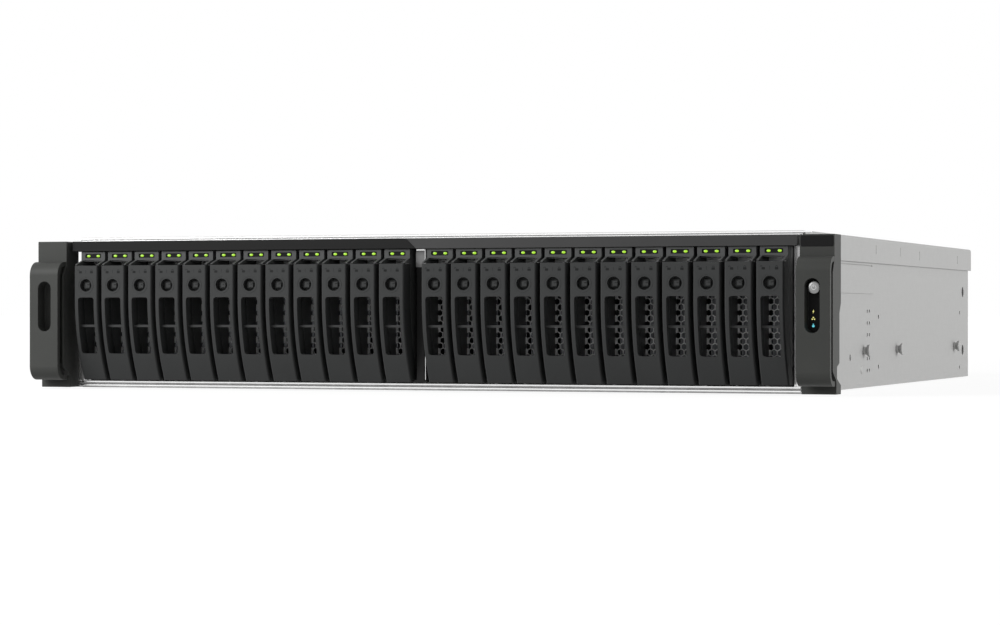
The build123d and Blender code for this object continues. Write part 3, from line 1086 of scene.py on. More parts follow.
@dataclass
class Trays:
    """The tray in each bay, with its grille, its status lamps and its drive."""

    half_width: float = 7.7
    head_half: float = 7.75
    top: float = 79.8
    bottom: float = 4.25
    head_front: float = -12.3
    head_height: float = 5.6
    mouth_back: float = -4.0
    cheek: float = 1.3
    cheek_front: float = -11.1
    lever_gap: float = 0.3
    prong_front: float = -19.8
    prong_low: float = 71.95
    drive_low: float = 7.1
    drive_high: float = 76.95
    drive_front: float = 14.0
    drive_length: float = 100.45
    drive_half: float = 7.5
    lid_margin: float = 3.0
    lid_depth: float = 0.4
    plate_front: float = 1.8
    plate_sheet: float = 1.0
    beam_half: float = 6.1
    beam: float = 4.8
    hex_pitch: float = 3.6
    hex_flat: float = 3.05
    hex_row_pairs: int = 9
    hex_columns: int = 4
    hex_middle: float = 43.94
    lamp_height: float = 77.4
    lamp_window: Flat = (5.15, 1.2)
    lamp_depth: float = 0.8
    lamp_spacing: float = 6.21
    lamp_size: Flat = (1.1, 0.68)

    def cheek_outline(self, levers: Levers) -> list[Flat]:
        """Follow the lever's back line at a running gap, as (depth, height).

        Args:
            levers: The levers that the cheeks clear.

        Returns:
            The outline.
        """
        gap = self.lever_gap
        backs = [back for _, back in levers.stations()][: levers.arc_steps + 1]
        line = [(depth + gap, height) for depth, height in backs]
        knee = line[-1]
        plate_back = self.plate_front + self.plate_sheet
        return [
            (self.cheek_front, self.top),
            *line,
            (knee[0] + 1.0, knee[1] - 0.2),
            (gap, knee[1] - 2.0),
            (gap, self.bottom),
            (plate_back, self.bottom),
            (plate_back, self.top),
        ]

    def moulding(self, levers: Levers) -> bpy.types.Mesh:
        """Form the tray's front frame with its head, cheeks, prongs and hinge beam, and its runners.

        Args:
            levers: The levers that it clears.

        Returns:
            Its mesh.
        """
        half, head_low = self.half_width, self.top - self.head_height
        runner_back = self.drive_front + self.drive_length - 2.0
        plate_back = self.plate_front + self.plate_sheet
        form = Solid().box(
            (-self.head_half, self.head_front, head_low), (self.head_half, plate_back, self.top)
        )
        prong = [
            (self.head_front, head_low + 0.6),
            (self.prong_front, self.prong_low + 0.5),
            (self.prong_front, self.prong_low),
            (self.cheek_front + 1, self.prong_low),
        ]
        for side in Side:
            low, high = outward(side, half - self.cheek, half)
            form.add(Solid().prism(self.cheek_outline(levers), Axis.X, low, high))
            form.add(Solid().prism(prong, Axis.X, low, high))
        for low, high in ((self.bottom, self.drive_low), (self.drive_high, self.top)):
            form.add(Solid().box((-half, self.plate_front, low), (half, runner_back, high)))
        depth, height = levers.pivot
        reach = self.beam / 2
        beam = Solid().box(
            (-self.beam_half, depth - reach, height - reach),
            (self.beam_half, plate_back, height + reach),
        )
        before, floor = self.head_front - 1, self.head_front + self.lamp_depth
        window = Solid().prism(
            rounded(*self.lamp_window, 0.4), Axis.DEPTH, before, floor, (0.0, self.lamp_height)
        )
        mouth = Solid().box(
            (-half + self.cheek, before, self.prong_low - 1),
            (half - self.cheek, self.mouth_back, head_low),
        )
        return form.add(beam).cut(window, mouth).finished(0.22)

    def grille(self, punch: NodeForm) -> bpy.types.Mesh:
        """Form the perforated plate behind the lever's window.

        Args:
            punch: The perforation tree.

        Returns:
            Its mesh.
        """
        half = self.half_width - self.cheek
        front, back = self.plate_front, self.plate_front + self.plate_sheet
        plate = Solid().box((-half, front, self.drive_low), (half, back, self.drive_high))
        field = HoleField(
            centre=(0.0, front + self.plate_sheet / 2, self.hex_middle),
            columns=self.hex_columns,
            row_pairs=self.hex_row_pairs,
            pitch=self.hex_pitch,
            radius=self.hex_flat / ROOT_3,
            length=4.0,
            finish=GRILLE_SHEET,
        )
        return field.punched(plate, punch).finished()

    def lamp_well(self) -> bpy.types.Mesh:
        """Form the dark insert in the head's lamp window.

        Returns:
            Its mesh.
        """
        outline = rounded(*[half - 0.05 for half in self.lamp_window], 0.35)
        floor = self.head_front + self.lamp_depth
        form = Solid().prism(outline, Axis.DEPTH, floor - 0.3, floor + 0.1, (0.0, self.lamp_height))
        return form.finished()

    def lamps(self) -> bpy.types.Mesh:
        """Form the two oval lamp lenses of a bay, each drawn in a little at its front.

        Returns:
            Their mesh.
        """
        form = Solid()
        half_x, half_z = self.lamp_size
        front = self.head_front + self.lamp_depth - 0.5
        for side in Side:
            centre = (side.value * self.lamp_spacing / 2, self.lamp_height)
            rings = []
            for share, depth in ((0.8, front), (1.0, front + 0.1), (1.0, front + 0.4)):
                ring = [(a * half_x * share, b * half_z * share) for a, b in disc(1.0, 20)]
                rings.append([(a, depth, b) for a, b in shifted(ring, centre)])
            form.loft(rings)
        return form.finished()

    def drive(self) -> bpy.types.Mesh:
        """Form the drive's case: a cast body with a lid set into each side.

        Returns:
            Its mesh.
        """
        back = self.drive_front + self.drive_length
        half, low, high = self.drive_half, self.drive_low, self.drive_high
        form = Solid().box((-half, self.drive_front, low), (half, back, high))
        lid = rounded(
            self.drive_length / 2 - self.lid_margin, (high - low) / 2 - self.lid_margin, self.lid_margin
        )
        middle = ((self.drive_front + back) / 2, (low + high) / 2)
        for side in Side:
            form.cut(Solid().prism(lid, Axis.X, *outward(side, half - self.lid_depth, half + 1), middle))
        return form.finished(0.6)

    def build(self, bays: Bays, levers: Levers, punch: NodeForm) -> None:
        """Put the tray's pieces in each bay.

        Args:
            bays: The bays.
            levers: The levers that the trays clear.
            punch: The perforation tree.
        """
        tray, grille = self.moulding(levers), self.grille(punch)
        well, lamps, drive = self.lamp_well(), self.lamps(), self.drive()
        for number, x in bays.centres():
            body = f"tray_{number:02d}"
            # The trays are painted paler than the levers: a painted lift against the shade the trim
            # casts on their heads.
            seat(f"{body}_moulding", tray, TRAY_PLASTIC, body, [body], x)
            seat(f"{body}_grille", grille, GRILLE_SHEET, body, (), x)
            seat(f"{body}_lamp_well", well, WELL_PLASTIC, body, (), x)
            seat(f"{body}_lamps", lamps, GREEN_LAMP, body, (), x)
            seat(f"{body}_drive", drive, DRIVE_CASE, body, (), x)


@dataclass
class Ears:
    """The two ear mouldings with their handle bars, and the button and lamps of the right one."""

    inner: float = 221.0
    outer: float = 240.1
    back: float = -1.7
    plate_front: float = -16.5
    wall_front: float = -20.6
    wall: float = 1.5
    top: float = 86.0
    foot: float = 0.2
    shoulder_top: float = 72.3
    shoulder_low: float = 65.6
    heel_top: float = 13.5
    heel_low: float = 6.5
    heel_steps: int = 8
    foot_front: float = -12.2
    scallop_depth: float = 2.1
    bar_half: float = 9.3
    bar_shift: float = 0.2
    bar_front: float = -26.7
    bar_sheet: float = 2.8
    bar_low: float = 4.6
    bar_high: float = 74.0
    bar_round: float = 8.0
    bar_steps: int = 8
    core_inset: float = 2.6
    core_depth: float = 1.5
    slot_middle: Flat = (230.3, 47.7)
    slot_half: Flat = (4.15, 14.6)
    slot_depth: float = 8.0
    panel_gap: float = 0.6
    badge_inset: float = 0.55
    badge_low: float = 79.4
    badge_high: float = 85.3
    button_middle: Flat = (230.8, 57.4)
    button_radius: float = 3.5
    button_front: float = -24.9
    button_length: float = 10.5
    button_bore: float = 1.9
    sign_radii: Flat = (1.35, 1.0)
    lamp_x: float = 229.3
    lamp_heights: tuple[float, float, float] = (44.6, 40.9, 37.1)

    def side_outline(self) -> list[Flat]:
        """Draw a side wall, as (depth, height): shoulder, straight front, and a heel in an S-curve.

        Returns:
            The outline.
        """
        heel = []
        for step in range(self.heel_steps + 1):
            share = step / self.heel_steps
            ease = (1 - math.cos(math.pi * share)) / 2
            depth = self.wall_front + (self.foot_front - self.wall_front) * ease
            heel.append((depth, self.heel_top + (self.heel_low - self.heel_top) * share))
        return [
            (self.back, self.foot),
            (self.back, self.top),
            (self.plate_front, self.top),
            (self.plate_front, self.shoulder_top),
            (self.wall_front, self.shoulder_low),
            *heel,
            (self.foot_front, self.foot),
        ]

    def bar_line(self, inset: float) -> list[Flat]:
        """Follow the handle bar's side from top to bottom, as (depth, height).

        Args:
            inset: How far inside the bar's outer face the line runs.

        Returns:
            The line's points.
        """
        radius, depth = self.bar_round - inset, self.bar_front + self.bar_round
        root = self.plate_front + 1.0
        upper = arc((depth, self.bar_high - self.bar_round), radius, 90.0, 180.0, self.bar_steps)
        lower = arc((depth, self.bar_low + self.bar_round), radius, 180.0, 270.0, self.bar_steps)
        return [(root, self.bar_high - inset), *upper, *lower, (root, self.bar_low + inset)]

    def scallop(self) -> list[Flat]:
        """Draw the finger cut-outs along the outer rear edge, as (depth, height).

        Returns:
            The outline.
        """
        return [
            (1.0, 49.1),
            (self.back, 49.1),
            (-5.1, 43.8),
            (-5.1, 16.9),
            (-10.5, 15.0),
            (-10.5, 8.6),
            (self.back, 5.0),
            (1.0, 5.0),
        ]

    def moulding(self) -> Solid:
        """Form the right-hand ear: a channel of two side walls and a web.

        Returns:
            The closed form.
        """
        form = Solid().prism(self.side_outline(), Axis.X, self.inner, self.outer)
        low, high, before = self.heel_top + 1, self.shoulder_top + 1, self.wall_front - 20
        channel = [(self.plate_front, high), (self.plate_front, low), (before, low), (before, high)]
        return form.cut(
            Solid().prism(channel, Axis.X, self.inner + self.wall, self.outer - self.wall),
            Solid().prism(self.scallop(), Axis.X, self.outer - self.scallop_depth, self.outer + 1),
        )

    def handle(self) -> Solid:
        """Form the right-hand handle bar with its core and its slot.

        Returns:
            The closed form.
        """
        middle = (self.inner + self.outer) / 2 + self.bar_shift
        bend = self.bar_line(0.0) + self.bar_line(self.bar_sheet)[::-1]
        form = Solid().prism(bend, Axis.X, middle - self.bar_half, middle + self.bar_half)
        low, high = self.inner + self.core_inset, self.outer - self.core_inset
        core = Solid().prism(self.bar_line(self.core_depth), Axis.X, low, high)
        slot = rounded(*self.slot_half, self.slot_half[0] - 0.01, 10)
        front, floor = self.bar_front - 1, self.bar_front + self.slot_depth
        return form.add(core).cut(Solid().prism(slot, Axis.DEPTH, front, floor, self.slot_middle))

    def badge(self) -> Solid:
        """Form the bare dark plate near the top of the right ear.

        Returns:
            The closed form.
        """
        half = (self.outer - self.inner) / 2 - self.badge_inset
        outline = rounded(half, (self.badge_high - self.badge_low) / 2, 0.8)
        at = ((self.inner + self.outer) / 2, (self.badge_low + self.badge_high) / 2)
        front, back = self.plate_front - 0.25, self.plate_front + 0.3
        return Solid().prism(outline, Axis.DEPTH, front, back, at)

    def lamp_panel(self) -> Solid:
        """Form the black panel at the floor of the right-hand slot.

        Returns:
            The closed form.
        """
        half_x, half_z = [half - self.panel_gap for half in self.slot_half]
        outline = rounded(half_x, half_z, half_x - 0.05, 10)
        floor = self.bar_front + self.slot_depth
        return Solid().prism(outline, Axis.DEPTH, floor - 0.9, floor + 0.2, self.slot_middle)

    def button_cap(self) -> Solid:
        """Form the button's domed cap and its stem.

        Returns:
            The two closed forms.
        """
        x, height = self.button_middle
        radius, front = self.button_radius, self.button_front
        profile = [
            (radius, front + 3.6),
            (radius, front + 0.9),
            (radius - 0.25, front + 0.45),
            (radius - 0.9, front + 0.15),
            (radius - 1.6, front),
            (0.2, front),
        ]
        cap = Solid().turned(profile, (x, 0.0, height), Axis.DEPTH, 40)
        stem = self.button_bore - 0.1
        return cap.box(
            (x - stem, front + 3.5, height - stem), (x + stem, front + self.button_length, height + stem)
        )

    def button_sign(self) -> Solid:
        """Form the power sign on the button: a broken ring and a bar.

        Returns:
            The closed forms.
        """
        x, height = self.button_middle
        front, back = self.button_front - 0.06, self.button_front + 0.1
        outer, inner = [arc(self.button_middle, radius, 120.0, 420.0, 20) for radius in self.sign_radii]
        sign = Solid().prism(outer + inner[::-1], Axis.DEPTH, front, back)
        return sign.box((x - 0.18, front, height + 0.3), (x + 0.18, back, height + 1.7))

    def lamp(self, kind: int) -> Solid:
        """Form one of the three indicator lenses.

        Args:
            kind: 0 for the bolt, 1 for the three dots, 2 for the lower pair.

        Returns:
            The lens.
        """
        front = self.bar_front + self.slot_depth - 1.0
        form = Solid()
        middle = (self.lamp_x, self.lamp_heights[kind])
        if kind == 0:
            bolt = [(0.3, 1.2), (-0.5, -0.2), (-0.05, -0.2), (-0.25, -1.2), (0.5, 0.25), (0.1, 0.25)]
            return form.prism(bolt, Axis.DEPTH, front, front + 0.4, middle)
        shapes = {
            1: ((-0.6, -0.4, 0.38, 0.38), (0.6, -0.4, 0.38, 0.38), (0.0, 0.5, 0.38, 0.38)),
            2: ((0.0, -0.3, 0.7, 0.6), (0.0, 0.7, 0.32, 0.28)),
        }
        for dx, dz, half_x, half_z in shapes[kind]:
            ring = [(a * half_x, b * half_z) for a, b in disc(1.0, 14)]
            form.prism(ring, Axis.DEPTH, front, front + 0.4, (middle[0] + dx, middle[1] + dz))
        return form

    def bored(self, form: Solid) -> Solid:
        """Cut the button's square bore through a form."""
        bore = rounded(self.button_bore, self.button_bore, 0.1, 1)
        return form.cut(Solid().prism(bore, Axis.DEPTH, self.bar_front + 1, -10.0, self.button_middle))

    def build(self) -> None:
        """Put both ears on the chassis, with the button, the lamps and the bare plate."""
        body, slot = "chassis", "ear_plastic"
        pieces = {
            "right_ear_moulding": self.bored(self.moulding()),
            "left_ear_moulding": self.moulding().mirrored(),
            "right_ear_handle": self.bored(self.handle()),
            "left_ear_handle": self.handle().mirrored(),
        }
        for name, form in pieces.items():
            edge = 0.9 if name.endswith("handle") else 0.45
            seat(name, form.finished(edge, 4), EAR_PLASTIC, body, [name.rpartition("_")[0]])
        seat("right_ear_plate", self.badge().finished(0.12), WELL_PLASTIC, body)
        panel = self.bored(self.lamp_panel()).finished(0.15)
        seat("right_ear_lamp_panel", panel, WELL_PLASTIC, body)
        cap, sign = self.button_cap().finished(), self.button_sign().finished()
        seat("power_button_cap", cap, BUTTON_METAL, "button", ["power_button"])
        seat("power_button_sign", sign, BUTTON_MARK, "button")
        for kind, finish in enumerate((YELLOW_LAMP, YELLOW_LAMP, CYAN_LAMP)):
            seat(f"indicator_lamp_{kind + 1}", self.lamp(kind).finished(), finish, body)


@dataclass
class FrontTrim:
    """The trim bar over the bays, its right length painted paler as painted highlight, and the centre
    post below it.
    """

    half_width: float = 218.8
    low: float = 80.1
    high: float = 86.0
    proud: float = 13.6
    wall: float = 2.0
    lean: float = 1.5
    joint_top: float = -8.0
    joint_low: float = -0.9
    post_half: float = 2.5
    post_front: float = -9.0
    post_low: float = 4.4
    post_high: float = 70.0
    foot_half: float = 4.0
    foot_height: float = 1.6
    bracket_sheet: float = 0.5
    bracket_high: float = 79.8

    def bar(self) -> Solid:
        """Form the whole bar as a channel, open at the back.

        Returns:
            The closed form.
        """
        half, inner = self.half_width, self.half_width - self.wall
        form = Solid().box((-half, -self.proud, self.low), (half, 0.0, self.high))
        front = -self.proud + self.wall
        return form.cut(Solid().box((-inner, front, self.low + 1), (inner, 1.0, self.high - 1)))

    def right_of_joint(self, grow: float) -> Solid:
        """Give the space to the right of the slanted joint.

        Args:
            grow: How far the space reaches past the bar, in millimetres.

        Returns:
            A closed form with a slanted end.
        """
        slope = (self.joint_top - self.joint_low) / (self.high - self.low)
        low, high = self.low - grow, self.high + grow
        outline = [
            (self.joint_low - slope * grow, low),
            (self.half_width + grow, low),
            (self.half_width + grow, high),
            (self.joint_top + slope * grow, high),
        ]
        return Solid().prism(outline, Axis.DEPTH, -self.proud - grow, grow)

    def right_length(self) -> Solid:
        """Form the bar to the right of the joint; its face leans back towards the top.

        Returns:
            The closed form.
        """
        front, top = -self.proud, self.high + 0.3
        wedge = [
            (front - 0.01, self.low),
            (front + self.lean * 1.05, top),
            (front - 1, top),
            (front - 1, self.low),
        ]
        half = self.half_width + 5
        outside = Solid().box((-half, front - 5, 0.0), (half, 5.0, 120.0))
        outside.cut(self.right_of_joint(0.99))
        lean = Solid().prism(wedge, Axis.X, -self.half_width, self.half_width + 1)
        return self.bar().cut(outside, lean)

    def post(self) -> Solid:
        """Form the post between the two groups of bays, with its wider foot.

        Returns:
            The closed form.
        """
        front, low = self.post_front, self.post_low
        foot_top = low + self.foot_height
        foot = Solid().box((-self.foot_half, front, low), (self.foot_half, 0.0, foot_top))
        shaft = Solid().box((-self.post_half, front, low), (self.post_half, 0.0, self.post_high))
        return shaft.add(foot)

    def bracket(self) -> Solid:
        """Form the bright edges that show along the post's right side and over its head.

        Returns:
            The closed forms.
        """
        half, front, sheet = self.post_half, self.post_front + 0.6, self.bracket_sheet
        low = self.post_low + self.foot_height
        form = Solid().box((half, front, low), (half + sheet, 0.0, self.bracket_high))
        return form.box((-half, front, self.bracket_high - 0.55), (half, 0.0, self.bracket_high))

    def build(self) -> None:
        """Put the trim's two lengths and the post on the chassis."""
        replaced = ["front_trim"]
        # The post's head wears a darker copy of the bright bracket sheet: painted shade on the bracket's
        # face.
        head = Solid().box(
            (-self.post_half - 0.45, self.post_front - 0.1, self.post_high - 0.45),
            (self.post_half, 0.0, self.bracket_high - 0.6),
        )
        left = self.bar().cut(self.right_of_joint(1.0)).finished(0.2)
        right, post = self.right_length().finished(0.2), self.post().finished(0.4)
        seat("trim_left_length", left, TRIM_DARK, "chassis", replaced)
        # The right length wears a paler copy of the trim plastic: painted highlight on its leaning face.
        seat("trim_right_length", right, TRIM_PAINTED_HIGHLIGHT, "chassis", replaced)
        seat("centre_post_cap", post, TRIM_DARK, "chassis", replaced)
        slot, edges = "bright_steel", self.bracket().finished(0.15)
        seat("centre_post_head", head.finished(0.3), BRACKET_SHEET, "chassis", replaced)
        seat("centre_post_bracket", edges, BRIGHT_SHEET, "chassis")


@dataclass
class Casing:
    """The folded cover, the base with its side features, and the bright frame round the bays."""

    half_body: float = 219.1
    sheet: float = 1.2
    lip_gap: float = 0.15
    lip_sheet: float = 1.0
    lip_low: float = 73.7
    bend: float = 1.6
    dimples: tuple[Flat, ...] = ((175.5, 81.8), (245.5, 81.8), (304.0, 80.6), (432.0, 80.2))
    dimple_half: Flat = (1.0, 2.8)
    dimple_depth: float = 0.3
    screw_depths: tuple[float, ...] = (30.0, 250.0, 462.0)
    screw_rows: tuple[float, ...] = (-205.0, 0.0, 205.0)
    cross_reach: float = 1.2
    cross_half: float = 0.2
    frame_front: float = -1.7
    frame_back: float = -0.05
    frame_half: float = 223.8
    upper_band: Flat = (87.3, 88.3)
    inner_band: Flat = (86.12, 86.8)
    lower_bands: tuple[Flat, Flat] = ((0.95, 1.85), (2.95, 3.9))
    edge_low: float = 0.15
    rack_edge: float = 237.7
    rack_low: float = 1.2
    rack_high: float = 73.4
    wall_top: float = 87.4
    stud_depths: tuple[float, ...] = (147.9, 240.3, 426.2)
    stud_height: float = 21.7
    stud_radii: Flat = (2.3, 3.6)
    stud_length: float = 3.8
    pad_low: float = 55.4
    pad_high: float = 71.6
    pad_back: float = 172.0
    pad_proud: float = 0.6
    groove: Flat = (0.1, 0.7)
    groove_depth: float = 0.45
    rail_holes: tuple[Flat, ...] = ((457.0, 58.7), (457.0, 18.6))
    rail_hole_radius: float = 3.5
    vent_columns: Flat = (156.6, 162.6)
    vent_low: float = 9.9
    vent_pitch: float = 7.02
    vent_rows: int = 6
    vent_radius: float = 1.15
    small_holes: tuple[Flat, ...] = ((187.2, 41.7), (187.2, 11.6), (445.9, 44.3), (445.9, 6.8))
    small_hole_radius: float = 1.3
    locating_hole: Flat = (111.7, 18.0)
    locating_radius: float = 2.0
    pressing: Flat = (141.1, 10.4)

    def cover_outline(self) -> list[Flat]:
        """Draw the cover's folded section, as (x, height), with round bends outside.

        Returns:
            The outline.
        """
        inner, under = self.half_body + self.lip_gap, COVER_TOP - self.sheet
        outer, low = inner + self.lip_sheet, self.lip_low
        right = [(outer, low), *arc((outer - self.bend, COVER_TOP - self.bend), self.bend, 0.0, 90.0, 6)]
        left = [(-x, height) for x, height in reversed(right)]
        return [*right, *left, (-inner, low), (-inner, under), (inner, under), (inner, low)]

    def cover(self) -> Solid:
        """Form the cover with the pressed dimples in its lips.

        Returns:
            The closed form.
        """
        low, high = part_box("top_cover")
        start, end = low[1] / MM - FRONT, high[1] / MM - FRONT
        form = Solid().prism(self.cover_outline(), Axis.DEPTH, start, end)
        outer = self.half_body + self.lip_gap + self.lip_sheet
        outline = rounded(*self.dimple_half, 0.9)
        slots = Solid()
        for place in self.dimples:
            for side in Side:
                slots.prism(outline, Axis.X, *outward(side, outer - self.dimple_depth, outer + 1), place)
        return form.cut(slots)

    def cover_screws(self) -> Solid:
        """Form the rows of low screw heads in the cover, each with a cross recess.

        Returns:
            The heads.
        """
        profile = [(2.6, -0.4), (2.6, 0.05), (2.1, 0.2), (1.2, 0.25)]
        long, short = self.cross_reach, self.cross_half
        quarter = [(long, short), (short, short), (short, long)]
        cross = []
        for sx, sy in ((1, 1), (-1, 1), (-1, -1), (1, -1)):
            corner = [(sx * a, sy * b) for a, b in quarter]
            cross += corner if sx == sy else corner[::-1]
        heads, crosses = Solid(), Solid()
        for depth in self.screw_depths:
            for x in self.screw_rows:
                heads.turned(profile, (x, depth, COVER_TOP), Axis.HEIGHT, 20)
                crosses.prism(cross, Axis.HEIGHT, COVER_TOP - 0.3, COVER_TOP + 1, (x, depth))
        return heads.cut(crosses)

    def wall_cuts(self) -> Solid:
        """Form the cutters of the right-hand wall: the groove over its pad, and its round holes.

        Returns:
            The closed cutters.
        """
        face = self.half_body
        low, high = [self.pad_high + rise for rise in self.groove]
        cuts = Solid().box((face - self.groove_depth, 3.0, low), (face + 1, self.pad_back - 2.0, high))
        rows = [(place, self.rail_hole_radius, 28) for place in self.rail_holes]
        rows.append((self.locating_hole, self.locating_radius, 20))
        rows += [(place, self.small_hole_radius, 16) for place in self.small_holes]
        for depth in self.vent_columns:
            for row in range(self.vent_rows):
                rows.append(((depth, self.vent_low + row * self.vent_pitch), self.vent_radius, 16))
        for place, radius, sides in rows:
            cuts.prism(disc(radius, sides), Axis.X, face - self.sheet - 1, face + 1, place)
        return cuts

    def side_wall(self) -> Solid:
        """Form the right-hand side wall with its pad, pressing, vents and rail holes.

        Returns:
            The closed form.
        """
        face, inner = self.half_body, self.half_body - self.sheet
        form = Solid().box((inner, self.frame_front, self.rack_low), (face, 0.5, self.rack_high))
        outline = rounded(self.pad_back / 2 - 1, (self.pad_high - self.pad_low) / 2, 1.5)
        at = (self.pad_back / 2 + 1, (self.pad_low + self.pad_high) / 2)
        bump = Solid().turned(
            [(2.6, -0.4), (2.6, 0.02), (2.0, 0.45), (1.0, 0.6)], (face, *self.pressing), Axis.X, 20
        )
        form.add(
            Solid().box((inner, 0.0, 0.0), (face, REAR, self.wall_top)),
            Solid().prism(outline, Axis.X, face - 0.5, face + self.pad_proud, at),
            bump,
        )
        return form.cut(self.wall_cuts())

    def studs(self) -> Solid:
        """Form the flared rail studs of the right-hand side wall.

        Returns:
            The closed forms.
        """
        neck, head = self.stud_radii
        profile = [
            (neck, -0.3),
            (neck, 0.8),
            (neck * 0.9, 1.2),
            (head, self.stud_length - 0.9),
            (head, self.stud_length - 0.15),
            (head - 0.3, self.stud_length),
        ]
        form = Solid()
        for depth in self.stud_depths:
            form.turned(profile, (self.half_body, depth, self.stud_height), Axis.X, 28)
        return form

    def front_frame(self) -> Solid:
        """Form the bright front flange: top and bottom bands and the two rack plates.

        Returns:
            The closed forms.
        """
        rows = [
            (self.frame_half, self.frame_front, *self.upper_band),
            (self.half_body, self.frame_front - 0.2, *self.inner_band),
            *((self.frame_half, self.frame_front, *band) for band in self.lower_bands),
        ]
        form = Solid()
        for half, front, low, high in rows:
            form.box((-half, front, low), (half, self.frame_back, high))
        front, low = self.frame_front + 0.05, self.lower_bands[1][1] + 0.05
        for side in Side:
            near, far = outward(side, self.half_body - self.sheet - 0.3, self.rack_edge)
            form.box((near, front, low), (far, self.frame_back, self.rack_high))
        return form

    def frame_grooves(self) -> Solid:
        """Form the darker strips set back between the front flange's bright bands: painted shade in the
        gaps.

        Returns:
            The closed forms.
        """
        first, second = self.lower_bands
        rows = (
            (self.frame_half, 0.5, first[1], second[0]),
            (self.frame_half, 0.5, self.edge_low, first[0]),
            (self.half_body, 0.6, self.inner_band[1], self.upper_band[0]),
        )
        form = Solid()
        for half, set_back, low, high in rows:
            form.box((-half, self.frame_front + set_back, low), (half, self.frame_back, high))
        return form

    def build(self) -> None:
        """Put the cover on its body, and the walls and the front flange on the chassis."""
        body, base = "chassis", ["chassis_base"]
        cover = self.cover().finished(0.15)
        seat("cover_sheet", cover, ZINC_SHEET, "cover", ["top_cover"])
        seat("cover_screws", self.cover_screws().finished(), BRIGHT_SHEET, "cover")
        for name, form in (("right", self.side_wall()), ("left", self.side_wall().mirrored())):
            seat(f"side_wall_{name}", form.finished(0.1), ZINC_SHEET, body, base)
        for name, form in (("right", self.studs()), ("left", self.studs().mirrored())):
            seat(f"rail_studs_{name}", form.finished(), ZINC_SHEET, body, base)
        half = self.half_body - self.sheet
        pan = Solid().box((-half, 0.0, 0.0), (half, REAR, self.sheet)).finished(0.1)
        seat("base_pan", pan, ZINC_SHEET, body, base)
        flange, edges = self.front_frame().finished(0.12), self.frame_grooves().finished()
        seat("front_flange", flange, BRIGHT_SHEET, body, base)
        # The strips between the flange's bands carry a darker speckled sheet as painted shade in the
        # gaps.
        seat("front_flange_edges", edges, GAP_SHADE_SHEET, body)


@dataclass(frozen=True)
class KeptForm:
    """A node of the frame that keeps its own form, in a finish of this file."""

    node: str
    finish: Finish

    def build(self) -> None:
        """Give the node's slots the finish."""
        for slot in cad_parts[self.node].material_slots:
            slot.material = material_of(self.finish)
        LOG.info("%s keeps its own form, in %s", self.node, self.finish.name)


@dataclass
class Board:
    """The main board: its laminate, spacers, heat sink and memory, without the sockets."""

    spacer_top: float = 7.4
    sink_width: float = 60.0
    socket_back: float = REAR - 0.5

    def islands(self) -> list[Solid]:
        """Part the frame's main board into its separate solids, in millimetres.

        Returns:
            One form for each solid.
        """
        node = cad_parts["main_board"]
        whole = Solid().mesh
        whole.from_mesh(node.data)
        to_depth = Matrix.Translation((0.0, -FRONT, 0.0)) @ Matrix.Scale(1 / MM, 4)
        whole.transform(to_depth @ node.matrix_world)
        bmesh.ops.remove_doubles(whole, verts=whole.verts, dist=BOARD_GAP)
        left = dict.fromkeys(whole.faces)
        found = []
        while left:
            group, front = {}, [next(iter(left))]
            while front:
                face = front.pop()
                if face in left:
                    group[face] = left.pop(face)
                    front += [near for edge in face.edges for near in edge.link_faces]
            corners = {vert: None for face in group for vert in face.verts}
            part = Solid()
            for vert in corners:
                corners[vert] = part.mesh.verts.new(vert.co)
            for face in group:
                part.mesh.faces.new([corners[vert] for vert in face.verts])
            found.append(part)
        return found

    def kind(self, low: Point, high: Point) -> str:
        """Tell what a solid of the board is, from its box.

        Args:
            low: Its lowest corner.
            high: Its highest corner.

        Returns:
            The kind's name.
        """
        if high[2] <= self.spacer_top:
            return "spacer"
        if high[2] - low[2] < self.spacer_top:
            return "laminate"
        return "heat_sink" if high[0] - low[0] > self.sink_width else "memory"

    def build(self) -> None:
        """Put the board's solids on the chassis, each kind in its finish."""
        finishes = {
            "spacer": PIN_METAL,
            "laminate": SOLDER_MASK,
            "heat_sink": DRIVE_CASE,
            "memory": SOLDER_MASK,
        }
        numbers = dict.fromkeys(finishes, 0)
        for part in self.islands():
            columns = list(zip(*(vert.co for vert in part.mesh.verts)))
            low, high = [tuple(pick(column) for column in columns) for pick in (min, max)]
            if high[1] > self.socket_back:
                continue
            kind = self.kind(low, high)
            numbers[kind] += 1
            name = f"board_{kind}_{numbers[kind]}"
            seat(name, part.finished(0.1), finishes[kind], "chassis", ["main_board"])


@dataclass(frozen=True)
class Port:
    """A socket on the rear panel: its place and size, and what fills it."""

    x: float
    width: float
    height: float
    openings: int
    finish: Finish

    @property
    def pitch(self) -> float:
        """Give the distance from one opening to the next."""
        return self.width / self.openings


